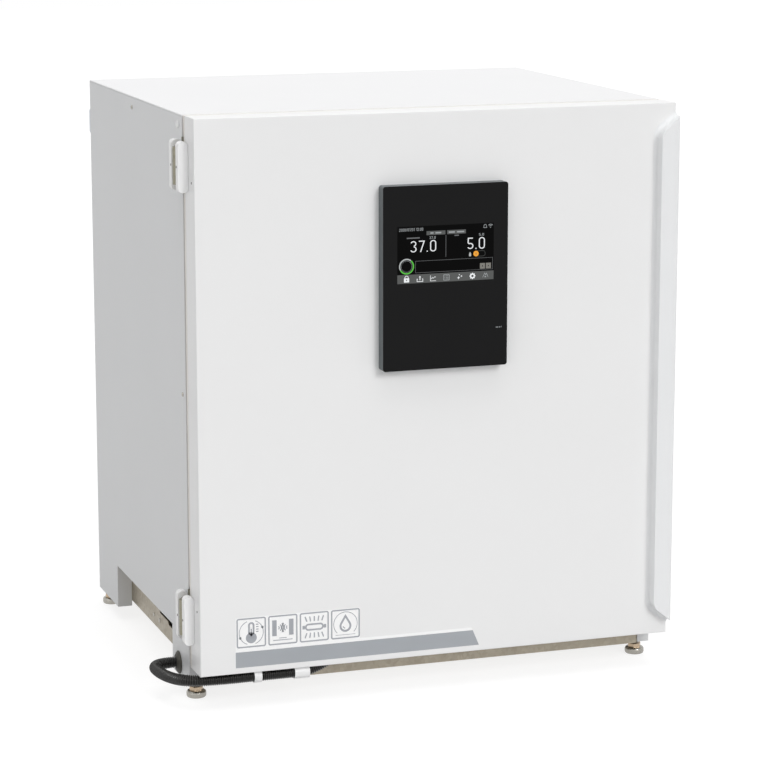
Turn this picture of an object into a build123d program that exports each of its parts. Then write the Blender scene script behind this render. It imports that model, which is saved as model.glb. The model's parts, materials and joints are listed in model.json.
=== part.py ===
from build123d import *
import math
import os

# A direct-heat incubator cabinet on four levelling feet: folded sheet shell, foam, steel chamber
# with shelves, inner glass door, outer insulated door with a raised control panel and a long grip.
# Drawn with X to the right, Y into the depth from the door seam, and Z up from the floor.

# Cabinet shell
cabinet_width = 770.0
cabinet_depth = 611.0
cabinet_height = 905.0
sheet = 1.5
fit_gap = 0.3
leg_bottom = 24.0
notch_front = 103.0
notch_rear_margin = 138.0
notch_top = 96.0
edge_return = 20.0
top_sheet = 2.0
top_flange_drop = 18.0
back_sheet = 1.5

# Base under the insulated body
base_inset = 25.0
base_bottom = 33.0
base_wall = 2.0
apron_bottom = 22.0
base_cut_margin = 7.0
base_cut_length = 172.0
base_cut_rise = 25.0
base_cut_step = 5.0

# Levelling feet
foot_radius = 15.5
foot_disc = 8.0
hex_across = 19.0
hex_height = 9.0
stud_radius = 6.0
stud_top = 60.0
foot_inset_x = 16.0
foot_front_y = 20.5
foot_rear_margin = 24.0
pad_thickness = 4.0
pad_half = 14.0
boss_radius = 11.0
boss_height = 22.0
running_gap = 0.06

# Chamber and the foam walls round it
side_wall = 63.5
top_wall = 55.5
floor_wall = 53.5
rear_wall = 76.0
chamber_corner = 25.0
liner_sheet = 1.2
rebate_depth = 16.0
rebate_margin = 12.5
foam_inset = 3.6
bulkhead_margin = 39.7
bulkhead_sheet = 1.2

# Outer door
door_front = 67.0
door_rear_gap = 9.5
door_bottom = 57.0
skin_rear = 18.0
door_edge_radius = 2.0
liner_recess_y = 24.0
door_ring_width = 40.0
door_land_bottom = 75.0
door_land_top = 38.0
gasket_width = 12.0
gasket_inset = 6.5

# Outer hinges
hinge_axis_x = 8.5
hinge_axis_y = 5.0
knuckle_radius = 7.5
pin_radius = 3.0
knuckle_length = 56.0
hinge_leaf_length = 84.0
cabinet_leaf = 3.0
door_leaf = 2.5
leaf_reach = 19.0
upper_hinge_drop = 74.5
lower_hinge_rise = 80.0
cover_height = 76.0
cover_proud = 15.5
cover_depth = 14.5
cover_rear_y = 4.5
cover_front_y = 34.0

# Grip along the right edge of the door
grip_width = 31.0
grip_proud = 20.0
grip_top_drop = 19.0
grip_bottom_rise = 23.5
grip_slant = 25.0
grip_corner = 22.0
grip_wall = 4.0
grip_plate = 5.0
grip_flange = 2.0
grip_nose = 13.0
grip_foot_fillet = 5.5
grip_foot_edge = 0.5

# Control panel
panel_width = 200.0
panel_height = 281.5
panel_top_drop = 108.5
panel_depth = 19.3
panel_glass_thickness = 1.8
panel_corner = 4.0
panel_wall = 4.0
panel_back = 3.0
display_width = 164.0
display_height = 97.0
display_rise = 128.0
display_depth = 10.0
usb_height = 14.0
usb_rise = 48.0
usb_length = 11.0
usb_thickness = 1.8
usb_barrel = 1.2
usb_pin = 0.6
usb_ear = 1.5

# Conduit from the cabinet to the door
conduit_radius = 9.0
conduit_y = 50.0
conduit_drop = 10.6
grommet_y = 62.0
grommet_z = 45.0
grommet_radius = 18.0
grommet_proud = 6.0
clip_wall = 1.2
clip_gap = 0.2
small_clip_inset = 93.5
small_clip_width = 12.0
large_clip_inset = 164.0
large_clip_width = 24.0
conduit_entry_inset = 213.0
conduit_entry_radius = 24.0
loop_reach = 55.0
conduit_split_inset = 13.0

# Inner glass door
glass_overlap = 8.5
glass_frame_width = 12.0
glass_frame_front = 1.2
glass_frame_rear = 12.0
glass_thickness = 5.0
glass_groove_y = 3.5
inner_axis_inset = 15.5
inner_axis_y = 4.0
inner_knuckle = 3.7
inner_pin = 2.0
inner_hinge_length = 44.0
inner_hinge_margin = 150.0
inner_leaf = 2.2
latch_radius = 13.0
latch_tongue = 21.0
latch_spindle = 2.9
keeper_proud = 6.0

# Air circulation
fan_drop = 89.5
fan_radius = 55.0
fan_blades = 14
fan_shaft = 3.0
fan_wall_gap = 9.0
fan_depth = 17.0
blade_thickness = 1.4
duct_half_width = 105.0
duct_depth = 38.0
duct_rise = 25.5
duct_top_gap = 7.5
motor_radius = 28.0
motor_flange_radius = 36.0
lamp_radius = 7.5
lamp_rise = 125.0
lamp_drop = 200.0
lamp_inset = 33.0
lamp_wall_gap = 10.5
lamp_socket = 14.0
sensor_drop = 59.5
sensor_spacing = 42.0
sensor_inset = 141.5

# Shelves and pan
shelf_count = 4
shelf_first_rise = 95.5
shelf_top_gap = 124.5
shelf_side_gap = 16.5
shelf_front_gap = 57.5
shelf_rear_gap = 17.0
shelf_rim = 12.0
shelf_sheet = 1.2
slot_columns = 4
slot_rows = 9
slot_width = 8.0
rack_depth = 12.0
ledge_width = 12.0
ledge_sheet = 1.5
upright_front_inset = 35.0
upright_rear_inset = 50.0
upright_width = 16.0
pan_side_gap = 31.5
pan_front_gap = 42.5
pan_rear_gap = 27.0
pan_height = 34.0
pan_sheet = 1.5
pan_corner = 20.0

# Ports and electrics at the back
port_inset = 91.5
port_drop = 159.5
port_bore = 15.0
port_tube = 19.0
port_flange = 26.0
plug_head = 22.0
plug_length = 26.0
gas_inset = 155.0
socket_rise = 54.0
gas_stub = 4.0
gas_stub_length = 12.0
gas_hex = 14.0
mains_inset = 85.0
mains_width = 62.0
mains_height = 34.0
spacer_width = 30.0
spacer_depth = 18.0
spacer_drop = 93.0
spacer_height = 45.0
board_width = 200.0
board_height = 220.0
board_inset = 40.0
board_standoff = 6.0
vent_length = 70.0
vent_width = 4.0
vent_pitch = 12.0
vent_spacing = 95.0
vent_columns = 3
vent_rows = 6
screw_margin = 18.0

# Worked out from the sizes above
half_width = cabinet_width / 2
side_depth = cabinet_depth - back_sheet
notch_rear = cabinet_depth - notch_rear_margin
base_half_width = half_width - base_inset
base_cut_front = notch_front + base_cut_margin
base_cut_rear = base_cut_front + base_cut_length
base_cut_bottom = base_bottom + base_cut_rise
foot_rear_y = cabinet_depth - foot_rear_margin
chamber_half = half_width - side_wall
chamber_width = 2 * chamber_half
chamber_bottom = notch_top + floor_wall
chamber_top = cabinet_height - top_wall
chamber_height = chamber_top - chamber_bottom
chamber_front = rebate_depth + sheet
chamber_rear = cabinet_depth - rear_wall
chamber_mid = (chamber_bottom + chamber_top) / 2
bulkhead_y = cabinet_depth - bulkhead_margin
upper_hinge_z = cabinet_height - upper_hinge_drop
lower_hinge_z = door_bottom + lower_hinge_rise
grip_top = cabinet_height - grip_top_drop
grip_bottom = door_bottom + grip_bottom_rise
panel_bottom = cabinet_height - panel_top_drop - panel_height
display_bottom = panel_bottom + display_rise
usb_bottom = panel_bottom + usb_rise
conduit_z = door_bottom - conduit_drop
small_clip_x = -half_width + small_clip_inset
large_clip_x = -half_width + large_clip_inset
conduit_entry_x = -half_width + conduit_entry_inset
conduit_split_x = -half_width + conduit_split_inset
inner_hinge_z = (chamber_bottom + inner_hinge_margin, chamber_top - inner_hinge_margin)
latch_z = chamber_mid
fan_z = chamber_top - fan_drop
fan_back_y = chamber_rear - fan_wall_gap
duct_front_y = chamber_rear - duct_depth
duct_bottom = chamber_bottom + duct_rise
duct_top = chamber_top - duct_top_gap
sensor_x = chamber_half - sensor_inset
sensor_z = chamber_top - sensor_drop
shelf_first_z = chamber_bottom + shelf_first_rise
shelf_pitch = (chamber_top - shelf_top_gap - shelf_first_z) / (shelf_count - 1)
shelf_half_width = chamber_half - shelf_side_gap
shelf_front_y = chamber_front + shelf_front_gap
shelf_rear_y = duct_front_y - shelf_rear_gap
upright_y = (shelf_front_y + upright_front_inset, shelf_rear_y - upright_rear_inset)
pan_half_width = chamber_half - pan_side_gap
pan_front_y = chamber_front + pan_front_gap
pan_rear_y = duct_front_y - pan_rear_gap
port_x = -chamber_half + port_inset
port_z = chamber_top - port_drop
gas_x = half_width - gas_inset
gas_z = notch_top + socket_rise
mains_x = half_width - mains_inset
mains_z = gas_z
spacer_bottom = cabinet_height - spacer_drop
rebate_half = chamber_half + rebate_margin
rebate_half_height = chamber_height / 2 + rebate_margin
floor_top = notch_top + sheet
foot_x = half_width - foot_inset_x
leg_return = half_width - base_half_width - fit_gap
axis_x = -half_width - hinge_axis_x
liner_half = half_width - door_ring_width
liner_bottom = door_bottom + door_land_bottom
liner_top = cabinet_height - door_land_top
glass_half = chamber_half + glass_overlap
inner_axis_x = -chamber_half - inner_axis_inset
latch_x = glass_half - glass_frame_width / 2
rear_compartment = bulkhead_y + bulkhead_sheet

# The frame's origin is on the floor under the middle of the whole footprint.
front_reach = door_front + panel_depth + panel_glass_thickness
rear_reach = cabinet_depth + spacer_depth
footprint_mid = (-loop_reach / 2, (rear_reach - front_reach) / 2)


def block(x0, x1, y0, y1, z0, z1):
    middle = Pos((x0 + x1) / 2, (y0 + y1) / 2, (z0 + z1) / 2)
    return middle * Box(x1 - x0, y1 - y0, z1 - z0)


def area(a0, a1, b0, b1, corner=0):
    middle = Pos((a0 + a1) / 2, (b0 + b1) / 2)
    if corner:
        return middle * RectangleRounded(a1 - a0, b1 - b0, corner)
    return middle * Rectangle(a1 - a0, b1 - b0)


def along_x(sketch, x0, x1):
    return extrude(Plane.YZ.offset(x0) * sketch, amount=x1 - x0)


def along_y(sketch, y0, y1):
    return extrude(Plane.XZ.offset(-y1) * sketch, amount=y1 - y0)


def along_z(sketch, z0, z1):
    return extrude(Plane.XY.offset(z0) * sketch, amount=z1 - z0)


def rod_x(radius, y, z, x0, x1):
    return along_x(Pos(y, z) * Circle(radius), x0, x1)


def rod_y(radius, x, z, y0, y1):
    return along_y(Pos(x, z) * Circle(radius), y0, y1)


def rod_z(radius, x, y, z0, z1):
    return along_z(Pos(x, y) * Circle(radius), z0, z1)


def both_sides(shape):
    return [shape, mirror(shape, about=Plane.YZ)]


def joined(first, *rest):
    for other in rest:
        first = first + other
    return first


def cut(shape, *tools):
    for tool in tools:
        shape = shape - tool
    return shape


# Cabinet shell
def side_panel():
    x_out = -half_width
    fold = area(x_out, x_out + edge_return, 0, side_depth)
    fold -= area(x_out + sheet, x_out + edge_return + 1, sheet, side_depth - sheet)
    panel = along_z(fold, leg_bottom, cabinet_height - top_sheet - fit_gap)
    panel -= block(
        x_out - 1, x_out + edge_return + 1, notch_front, notch_rear, leg_bottom - 1, notch_top
    )
    front_web = block(x_out, x_out + leg_return, notch_front - sheet, notch_front, leg_bottom, notch_top)
    rear_web = block(x_out, x_out + leg_return, notch_rear, notch_rear + sheet, leg_bottom, notch_top)
    return joined(panel, front_web, rear_web)


def left_panel():
    hole = rod_x(grommet_radius - 3, grommet_y, grommet_z, -half_width - 1, -half_width + sheet + 1)
    return side_panel() - hole


def top_panel():
    top = block(-half_width, half_width, 0, cabinet_depth, cabinet_height - top_sheet, cabinet_height)
    long_edges = top.faces().sort_by(Axis.Z)[-1].edges().filter_by(Axis.Y)
    top = fillet(long_edges, top_sheet * 0.9)
    x_out = half_width - sheet - fit_gap
    flange_bottom = cabinet_height - top_sheet - top_flange_drop
    flange = block(-x_out, -x_out + sheet, 30, side_depth - 30, flange_bottom, cabinet_height - top_sheet)
    return joined(top, *both_sides(flange))


def back_panel():
    panel = block(
        -half_width + fit_gap,
        half_width - fit_gap,
        side_depth,
        cabinet_depth,
        notch_top,
        cabinet_height - top_sheet - fit_gap,
    )
    y0 = side_depth - 1
    y1 = cabinet_depth + 1
    holes = [
        rod_y(port_tube + fit_gap, port_x, port_z, y0, y1),
        rod_y(gas_stub + fit_gap + 1, gas_x, gas_z, y0, y1),
        block(
            mains_x - mains_width / 2 + 4,
            mains_x + mains_width / 2 - 4,
            y0,
            y1,
            mains_z - mains_height / 2 + 3,
            mains_z + mains_height / 2 - 3,
        ),
    ]
    for column in range(vent_columns):
        for row in range(vent_rows):
            x = port_x + 75 + column * vent_spacing
            z = gas_z + 50 + row * vent_pitch
            holes.append(along_y(Pos(x, z) * SlotOverall(vent_length, vent_width), y0, y1))
    return cut(panel, *holes)


def front_frame():
    x_out = half_width - edge_return - fit_gap
    z0 = floor_top + fit_gap
    z1 = cabinet_height - top_sheet - fit_gap
    frame = block(-x_out, x_out, 0, chamber_front, z0, z1)
    z_mid = chamber_mid
    rebate = along_y(
        Pos(0, z_mid) * RectangleRounded(2 * rebate_half, 2 * rebate_half_height, chamber_corner),
        -1,
        rebate_depth,
    )
    mouth = along_y(
        Pos(0, z_mid) * RectangleRounded(chamber_width, chamber_height, chamber_corner),
        -1,
        chamber_front + 1,
    )
    wall_outside = Pos(0, z_mid) * RectangleRounded(
        2 * (rebate_half + sheet), 2 * (rebate_half_height + sheet), chamber_corner + sheet
    )
    behind = along_y(area(-x_out - 1, x_out + 1, z0 - 1, z1 + 1) - wall_outside, sheet, chamber_front + 1)
    frame = cut(frame, rebate, mouth, behind)
    lip_x = rebate_half + 4
    post_x = liner_half + gasket_inset - 1.5
    post = block(post_x - 3, post_x, -keeper_proud, 0, latch_z - 12, latch_z + 12)
    lip = block(lip_x, post_x, -keeper_proud, -keeper_proud + 1.6, latch_z - 12, latch_z + 12)
    return joined(frame, post, lip)


def chamber_outside(gap, y0, y1):
    grow = 2 * (liner_sheet + gap)
    outline = RectangleRounded(
        chamber_width + grow, chamber_height + grow, chamber_corner + liner_sheet + gap
    )
    return along_y(Pos(0, chamber_mid) * outline, y0, y1)


def insulation():
    x_out = half_width - foam_inset
    z0 = floor_top + fit_gap
    z1 = cabinet_height - top_sheet - fit_gap
    foam = block(-x_out, x_out, sheet + fit_gap, bulkhead_y - fit_gap, z0, z1)
    clear = sheet + fit_gap
    rebate = Pos(0, chamber_mid) * RectangleRounded(
        2 * (rebate_half + clear), 2 * (rebate_half_height + clear), chamber_corner + clear
    )
    return cut(
        foam,
        along_y(rebate, 0, chamber_front + fit_gap),
        chamber_outside(fit_gap, 0, chamber_rear + liner_sheet + fit_gap),
        rod_y(12, 0, fan_z, chamber_rear, bulkhead_y),
        rod_y(port_tube + fit_gap, port_x, port_z, chamber_rear, bulkhead_y),
    )


def inner_chamber():
    inside = Pos(0, chamber_mid) * RectangleRounded(chamber_width, chamber_height, chamber_corner)
    return cut(
        chamber_outside(0, chamber_front, chamber_rear + liner_sheet),
        along_y(inside, chamber_front - 1, chamber_rear),
        rod_y(8.3, 0, fan_z, chamber_rear - 1, chamber_rear + 3),
        rod_y(port_tube + fit_gap, port_x, port_z, chamber_rear - 1, chamber_rear + 3),
    )


def rear_bulkhead():
    x_out = half_width - foam_inset
    z1 = cabinet_height - top_sheet - fit_gap
    plate = block(-x_out, x_out, bulkhead_y, rear_compartment, floor_top + fit_gap, z1)
    return cut(
        plate,
        rod_y(12, 0, fan_z, bulkhead_y - 1, rear_compartment + 1),
        rod_y(port_tube + fit_gap, port_x, port_z, bulkhead_y - 1, rear_compartment + 1),
    )


# Base with aprons, foot pads and threaded bosses
def foot_centres():
    return [(side * foot_x, y) for y in (foot_front_y, foot_rear_y) for side in (-1, 1)]


def base_frame():
    rear = side_depth - sheet - fit_gap
    apron_front = sheet + fit_gap
    apron_half = half_width - edge_return - fit_gap
    floor_half = half_width - sheet - fit_gap
    box_front = apron_front + base_wall
    box = block(-base_half_width, base_half_width, box_front, rear, base_bottom, notch_top)
    inside = block(
        -base_half_width + base_wall,
        base_half_width - base_wall,
        box_front + base_wall,
        rear - base_wall,
        base_bottom + base_wall,
        notch_top + 1,
    )
    step_y = base_cut_rear - base_cut_length / 3
    opening = [
        (base_cut_front, base_cut_bottom),
        (step_y, base_cut_bottom),
        (step_y + base_cut_step, base_cut_bottom + base_cut_step),
        (base_cut_rear, base_cut_bottom + base_cut_step),
        (base_cut_rear, notch_top + 1),
        (base_cut_front, notch_top + 1),
    ]
    window_area = make_face(Polyline(*opening, close=True))
    side_window = along_x(window_area, -base_half_width - 1, base_half_width + 1)
    frame = cut(box, inside, side_window)
    apron = block(-apron_half, apron_half, apron_front, box_front, apron_bottom, notch_top)
    lip_rear = foot_front_y - pad_half - fit_gap
    apron_lip = block(-apron_half, apron_half, box_front, lip_rear, apron_bottom, apron_bottom + base_wall)
    floor = block(-floor_half, floor_half, apron_front, rear, notch_top, floor_top)
    frame = joined(frame, apron, apron_lip, floor)
    for x, y in foot_centres():
        side = math.copysign(1, x)
        outer = side * (floor_half - 1)
        inner = side * (base_half_width - base_wall)
        y0 = y - pad_half
        y1 = y + pad_half
        pad_x = sorted((outer, inner))
        web_x = sorted((inner, side * (base_half_width + base_wall)))
        pad = block(*pad_x, y0, y1, leg_bottom, leg_bottom + pad_thickness)
        web = block(*web_x, y0, y1, leg_bottom, notch_top)
        boss = rod_z(boss_radius, x, y, leg_bottom, leg_bottom + boss_height)
        frame = joined(frame, pad, web, boss)
    for x, y in foot_centres():
        frame -= rod_z(stud_radius + running_gap, x, y, leg_bottom - 1, leg_bottom + boss_height + 1)
        frame -= rod_z(stud_radius + 1.5, x, y, leg_bottom + boss_height, stud_top + 4)
    return frame


def levelling_foot(x, y):
    profile = make_face(
        Polyline(
            (0, 0),
            (foot_radius - 1.5, 0),
            (foot_radius, 1.5),
            (foot_radius, foot_disc - 2.5),
            (foot_radius - 2.5, foot_disc),
            (0, foot_disc),
            close=True,
        )
    )
    disc = revolve(Plane.XZ * profile, Axis.Z)
    flats = along_z(RegularPolygon(hex_across / 2, 6, major_radius=False), foot_disc, foot_disc + hex_height)
    stud = rod_z(stud_radius, 0, 0, foot_disc + hex_height, stud_top)
    return Pos(x, y, 0) * joined(disc, flats, stud)


# Outer hinges
def hinge_leaf(knuckle_spans, leaf_y0, leaf_y1, z_mid):
    half = hinge_leaf_length / 2
    leaf = block(-half_width - 1, -half_width + leaf_reach, leaf_y0, leaf_y1, z_mid - half, z_mid + half)
    for z0, z1 in knuckle_spans:
        arm = block(axis_x, -half_width, leaf_y0, leaf_y1, z_mid + z0, z_mid + z1)
        barrel = rod_z(knuckle_radius, axis_x, -hinge_axis_y, z_mid + z0, z_mid + z1)
        leaf = joined(leaf, arm, barrel)
    bore = rod_z(pin_radius + running_gap, axis_x, -hinge_axis_y, z_mid - half, z_mid + half)
    return leaf - bore


def cabinet_leaves():
    third = knuckle_length / 4
    return [
        hinge_leaf([(-third, third)], -fit_gap - cabinet_leaf, -fit_gap, z)
        for z in (upper_hinge_z, lower_hinge_z)
    ]


def door_leaves():
    third = knuckle_length / 4 + fit_gap
    half = knuckle_length / 2
    front = -door_rear_gap + fit_gap
    return [
        hinge_leaf([(-half, -third), (third, half)], front, front + door_leaf, z)
        for z in (upper_hinge_z, lower_hinge_z)
    ]


def hinge_pins():
    half = knuckle_length / 2 + fit_gap
    pins = []
    for z in (upper_hinge_z, lower_hinge_z):
        shank = rod_z(pin_radius, axis_x, -hinge_axis_y, z - half, z + half)
        head = rod_z(pin_radius + 1.5, axis_x, -hinge_axis_y, z + half, z + half + 2)
        pins.append(joined(shank, head))
    return pins


def hinge_covers(y_near, y_far):
    covers = []
    for z in (upper_hinge_z, lower_hinge_z):
        outline = area(
            -half_width - cover_proud,
            -half_width - fit_gap,
            z - cover_height / 2,
            z + cover_height / 2,
            cover_proud / 2 - 1,
        )
        cover = along_y(outline, y_near, y_far)
        cover = fillet(cover.edges().filter_by(GeomType.CIRCLE), 2)
        pocket = block(
            -half_width - cover_proud + 2.5,
            -half_width,
            y_near + 2.5,
            y_far - 2.5,
            z - cover_height / 2 + 6,
            z + cover_height / 2 - 6,
        )
        covers.append(cover - pocket)
    return covers


# Outer door
def door_skin():
    skin = block(-half_width, half_width, -door_front, -skin_rear, door_bottom, cabinet_height)
    front_edges = skin.faces().sort_by(Axis.Y)[0].edges()
    skin = fillet(front_edges, door_edge_radius)
    inside = block(
        -half_width + sheet,
        half_width - sheet,
        -door_front + sheet,
        -skin_rear + 1,
        door_bottom + sheet,
        cabinet_height - sheet,
    )
    return cut(skin, inside, conduit_slot(door_bottom - 1, door_bottom + sheet + 1))


def conduit_slot(z0, z1):
    slot = Pos(conduit_entry_x - 9, -conduit_y) * SlotOverall(46, 2 * conduit_radius + 2)
    return along_z(slot, z0, z1)


def door_opening(grow, y0, y1):
    outline = area(
        -liner_half - grow, liner_half + grow, liner_bottom - grow, liner_top + grow, 30 + grow
    )
    return along_y(outline, y0, y1)


def door_frame():
    ring = block(
        -half_width, half_width, -skin_rear + fit_gap, -door_rear_gap, door_bottom, cabinet_height
    )
    return ring - door_opening(0, -skin_rear, -door_rear_gap + 1)


def door_liner():
    outside = door_opening(-fit_gap, -liner_recess_y, -door_rear_gap)
    inside = door_opening(-fit_gap - liner_sheet, -liner_recess_y + liner_sheet, -door_rear_gap + 1)
    return outside - inside


def door_insulation():
    gap = sheet + fit_gap
    foam = block(
        -half_width + gap,
        half_width - gap,
        -door_front + gap,
        -skin_rear,
        door_bottom + gap,
        cabinet_height - gap,
    )
    pocket = door_opening(0, -liner_recess_y - fit_gap, -skin_rear + 1)
    channel = conduit_slot(door_bottom, door_bottom + 26)
    return cut(foam, pocket, channel)


def door_gasket():
    ring = area(
        -liner_half - gasket_inset - gasket_width,
        liner_half + gasket_inset + gasket_width,
        liner_bottom - gasket_inset - gasket_width,
        liner_top + gasket_inset + gasket_width,
        36,
    )
    ring -= area(
        -liner_half - gasket_inset,
        liner_half + gasket_inset,
        liner_bottom - gasket_inset,
        liner_top + gasket_inset,
        32,
    )
    return along_y(ring, -door_rear_gap, -fit_gap)


def grip_outline(inset, right):
    left = half_width - grip_width + inset
    top = grip_top - inset
    bottom = grip_bottom + inset
    corners = [
        (right, bottom),
        (left, bottom + grip_slant),
        (left, top - grip_slant),
        (right, top),
    ]
    face = make_face(Polyline(*corners, close=True))
    return fillet(face.vertices().group_by(Axis.X)[0], grip_corner - inset)


def door_grip():
    y_front = -door_front - grip_proud
    y_foot = -door_front - grip_foot_edge
    body = along_y(grip_outline(0, half_width), y_front, -door_front)
    foot = along_y(grip_outline(-grip_foot_fillet - fit_gap, half_width), y_foot, -door_front)
    grip = joined(body, foot)
    body_edges = [
        edge
        for edge in grip.edges().filter_by_position(Axis.Y, y_foot - 0.01, y_foot + 0.01)
        if edge.bounding_box().min.X > half_width - grip_width - 0.1
        and edge.bounding_box().max.Z < grip_top + 0.1
        and edge.bounding_box().min.Z > grip_bottom - 0.1
    ]
    grip = fillet(body_edges, grip_foot_fillet)
    hollow = along_y(
        grip_outline(grip_wall, half_width + 20), y_front + grip_plate, -door_front - grip_flange
    )
    nose = Pos(half_width - grip_nose, y_front + grip_plate) * Ellipse(grip_nose, grip_plate)
    corner = area(half_width - grip_nose, half_width + 1, y_front - 1, y_front + grip_plate)
    trim = along_z(corner - nose, grip_bottom - 5, grip_top + 5)
    return cut(grip, hollow, trim)


# Control panel on the door
def panel_housing():
    y_front = -door_front - panel_depth
    x_out = panel_width / 2
    z1 = panel_bottom + panel_height
    outline = area(-x_out, x_out, panel_bottom, z1, panel_corner)
    inside = area(-x_out + panel_wall, x_out - panel_wall, panel_bottom + panel_wall, z1 - panel_wall)
    housing = along_y(outline, y_front, -door_front)
    housing -= along_y(inside, y_front - 1, -door_front - panel_back)
    module_back = y_front + fit_gap + display_depth
    for x in (-display_width / 2 + 8, display_width / 2 - 8):
        for z in (display_bottom + 8, display_bottom + display_height - 8):
            housing += rod_y(4, x, z, module_back + fit_gap, -door_front - panel_back)
    axis_y = usb_axis_y()
    socket = block(
        x_out - panel_wall - 1,
        x_out + 1,
        axis_y - usb_length + 3,
        axis_y - 3,
        usb_bottom + 2,
        usb_bottom + usb_height - 2,
    )
    housing -= socket
    for z in (usb_bottom - usb_ear - fit_gap, usb_bottom + usb_height + fit_gap):
        ear = block(x_out, x_out + 2.6, axis_y - 1.5, axis_y + 1.5, z, z + usb_ear)
        bore = rod_z(usb_pin + running_gap, x_out + fit_gap + usb_barrel, axis_y, z - 1, z + usb_ear + 1)
        housing += ear - bore
    return housing


def panel_glass():
    y_front = -door_front - panel_depth
    outline = area(
        -panel_width / 2, panel_width / 2, panel_bottom, panel_bottom + panel_height, panel_corner
    )
    glass = along_y(outline, y_front - panel_glass_thickness, y_front - 0.2)
    front = glass.faces().sort_by(Axis.Y)[0]
    return fillet(front.edges(), 0.8)


def display_module():
    y_front = -door_front - panel_depth + fit_gap
    body = block(
        -display_width / 2,
        display_width / 2,
        y_front,
        y_front + display_depth,
        display_bottom,
        display_bottom + display_height,
    )
    rim = 4.6
    recess = block(
        -display_width / 2 + rim,
        display_width / 2 - rim,
        y_front - 1,
        y_front + 0.6,
        display_bottom + rim,
        display_bottom + display_height - rim,
    )
    return body - recess


def usb_cover():
    x0 = panel_width / 2 + fit_gap
    y_axis = usb_axis_y()
    z1 = usb_bottom + usb_height
    flap = block(x0, x0 + usb_thickness, y_axis - usb_length, y_axis, usb_bottom, z1)
    barrel = rod_z(usb_barrel, x0 + usb_barrel, y_axis, usb_bottom, z1)
    pin = rod_z(usb_pin, x0 + usb_barrel, y_axis, usb_bottom - usb_ear, z1 + usb_ear)
    return joined(flap, barrel, pin)


def usb_axis_y():
    return -door_front - 4.0


# Conduit and what holds it
def conduit_loop():
    loop_x = -half_width - loop_reach + conduit_radius
    route = FilletPolyline(
        (-half_width + 12, grommet_y, grommet_z),
        (loop_x + 2, grommet_y, grommet_z),
        (loop_x, -conduit_y, conduit_z),
        (conduit_split_x, -conduit_y, conduit_z),
        radius=[34, 48],
    )
    return sweep(Plane(route @ 0, z_dir=route % 0) * Circle(conduit_radius), path=route)


def conduit_door_run():
    end_z = door_bottom + 14
    route = FilletPolyline(
        (conduit_split_x + fit_gap, -conduit_y, conduit_z),
        (conduit_entry_x, -conduit_y, conduit_z),
        (conduit_entry_x, -conduit_y, end_z),
        radius=min(conduit_entry_radius, end_z - conduit_z - 0.5),
    )
    return sweep(Plane(route @ 0, z_dir=route % 0) * Circle(conduit_radius), path=route)


def conduit_clips():
    clips = []
    for x, width in ((small_clip_x, small_clip_width), (large_clip_x, large_clip_width)):
        inner = conduit_radius + clip_gap
        band = Circle(inner + clip_wall) - Circle(inner)
        foot = area(-7, 7, inner, door_bottom - conduit_z - clip_gap)
        profile = Pos(-conduit_y, conduit_z) * (band + foot - Circle(inner))
        clips.append(along_x(profile, x - width / 2, x + width / 2))
    return clips


def cable_grommet():
    x_face = -half_width
    neck = grommet_radius - 3 - fit_gap
    profile = make_face(
        Polyline(
            (conduit_radius + clip_gap, grommet_proud),
            (conduit_radius + 3, grommet_proud),
            (grommet_radius - 2, grommet_proud - 2.5),
            (grommet_radius, 1.5),
            (grommet_radius, 0),
            (neck, 0),
            (neck, -sheet - fit_gap),
            (neck + 2, -sheet - fit_gap),
            (neck + 1, -sheet - 4),
            (conduit_radius + clip_gap, -sheet - 4),
            close=True,
        )
    )
    ring = revolve(Plane.XZ * profile, Axis.Z)
    return Pos(x_face, grommet_y, grommet_z) * Rot(0, -90, 0) * ring


# Inner glass door
def inner_door_frame():
    z0 = chamber_bottom - glass_overlap
    z1 = chamber_top + glass_overlap
    outline = area(-glass_half, glass_half, z0, z1, 18)
    w = glass_frame_width
    window = area(-glass_half + w, glass_half - w, z0 + w, z1 - w, 12)
    groove_depth = 7.3
    g = w - groove_depth
    groove = area(-glass_half + g, glass_half - g, z0 + g, z1 - g, 14)
    y_groove = glass_groove_y - fit_gap
    frame = cut(
        along_y(outline, -glass_frame_front, glass_frame_rear),
        along_y(window, -glass_frame_front - 1, glass_frame_rear + 1),
        along_y(groove, y_groove, glass_groove_y + glass_thickness + fit_gap),
    )
    for z in inner_hinge_z:
        third = inner_hinge_length / 6 + fit_gap
        half = inner_hinge_length / 2
        y0 = -glass_frame_front - inner_leaf
        y1 = -glass_frame_front
        plate = block(-glass_half, -glass_half + 20, y0, y1, z - half, z + half)
        frame = frame + plate
        for za, zb in ((z - half, z - third), (z + third, z + half)):
            arm = block(inner_axis_x, -glass_half + 2, y0, y1, za, zb)
            frame = joined(frame, arm, rod_z(inner_knuckle, inner_axis_x, -inner_axis_y, za, zb))
        frame -= rod_z(inner_pin + running_gap, inner_axis_x, -inner_axis_y, z - half - 1, z + half + 1)
    spindle_hole = rod_y(
        latch_spindle + running_gap, latch_x, latch_z, -glass_frame_front - 1, glass_groove_y - fit_gap
    )
    return frame - spindle_hole


def inner_glass():
    inset = glass_frame_width - 7.3 + fit_gap
    return along_y(
        area(
            -glass_half + inset,
            glass_half - inset,
            chamber_bottom - glass_overlap + inset,
            chamber_top + glass_overlap - inset,
            14 - fit_gap,
        ),
        glass_groove_y,
        glass_groove_y + glass_thickness,
    )


def inner_door_gasket():
    outer = Pos(0, chamber_mid) * RectangleRounded(
        chamber_width + 2 * glass_overlap, chamber_height + 2 * glass_overlap, 20
    )
    inner = Pos(0, chamber_mid) * RectangleRounded(chamber_width + 2, chamber_height + 2, 18)
    return along_y(outer - inner, glass_frame_rear + fit_gap, rebate_depth)


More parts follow.
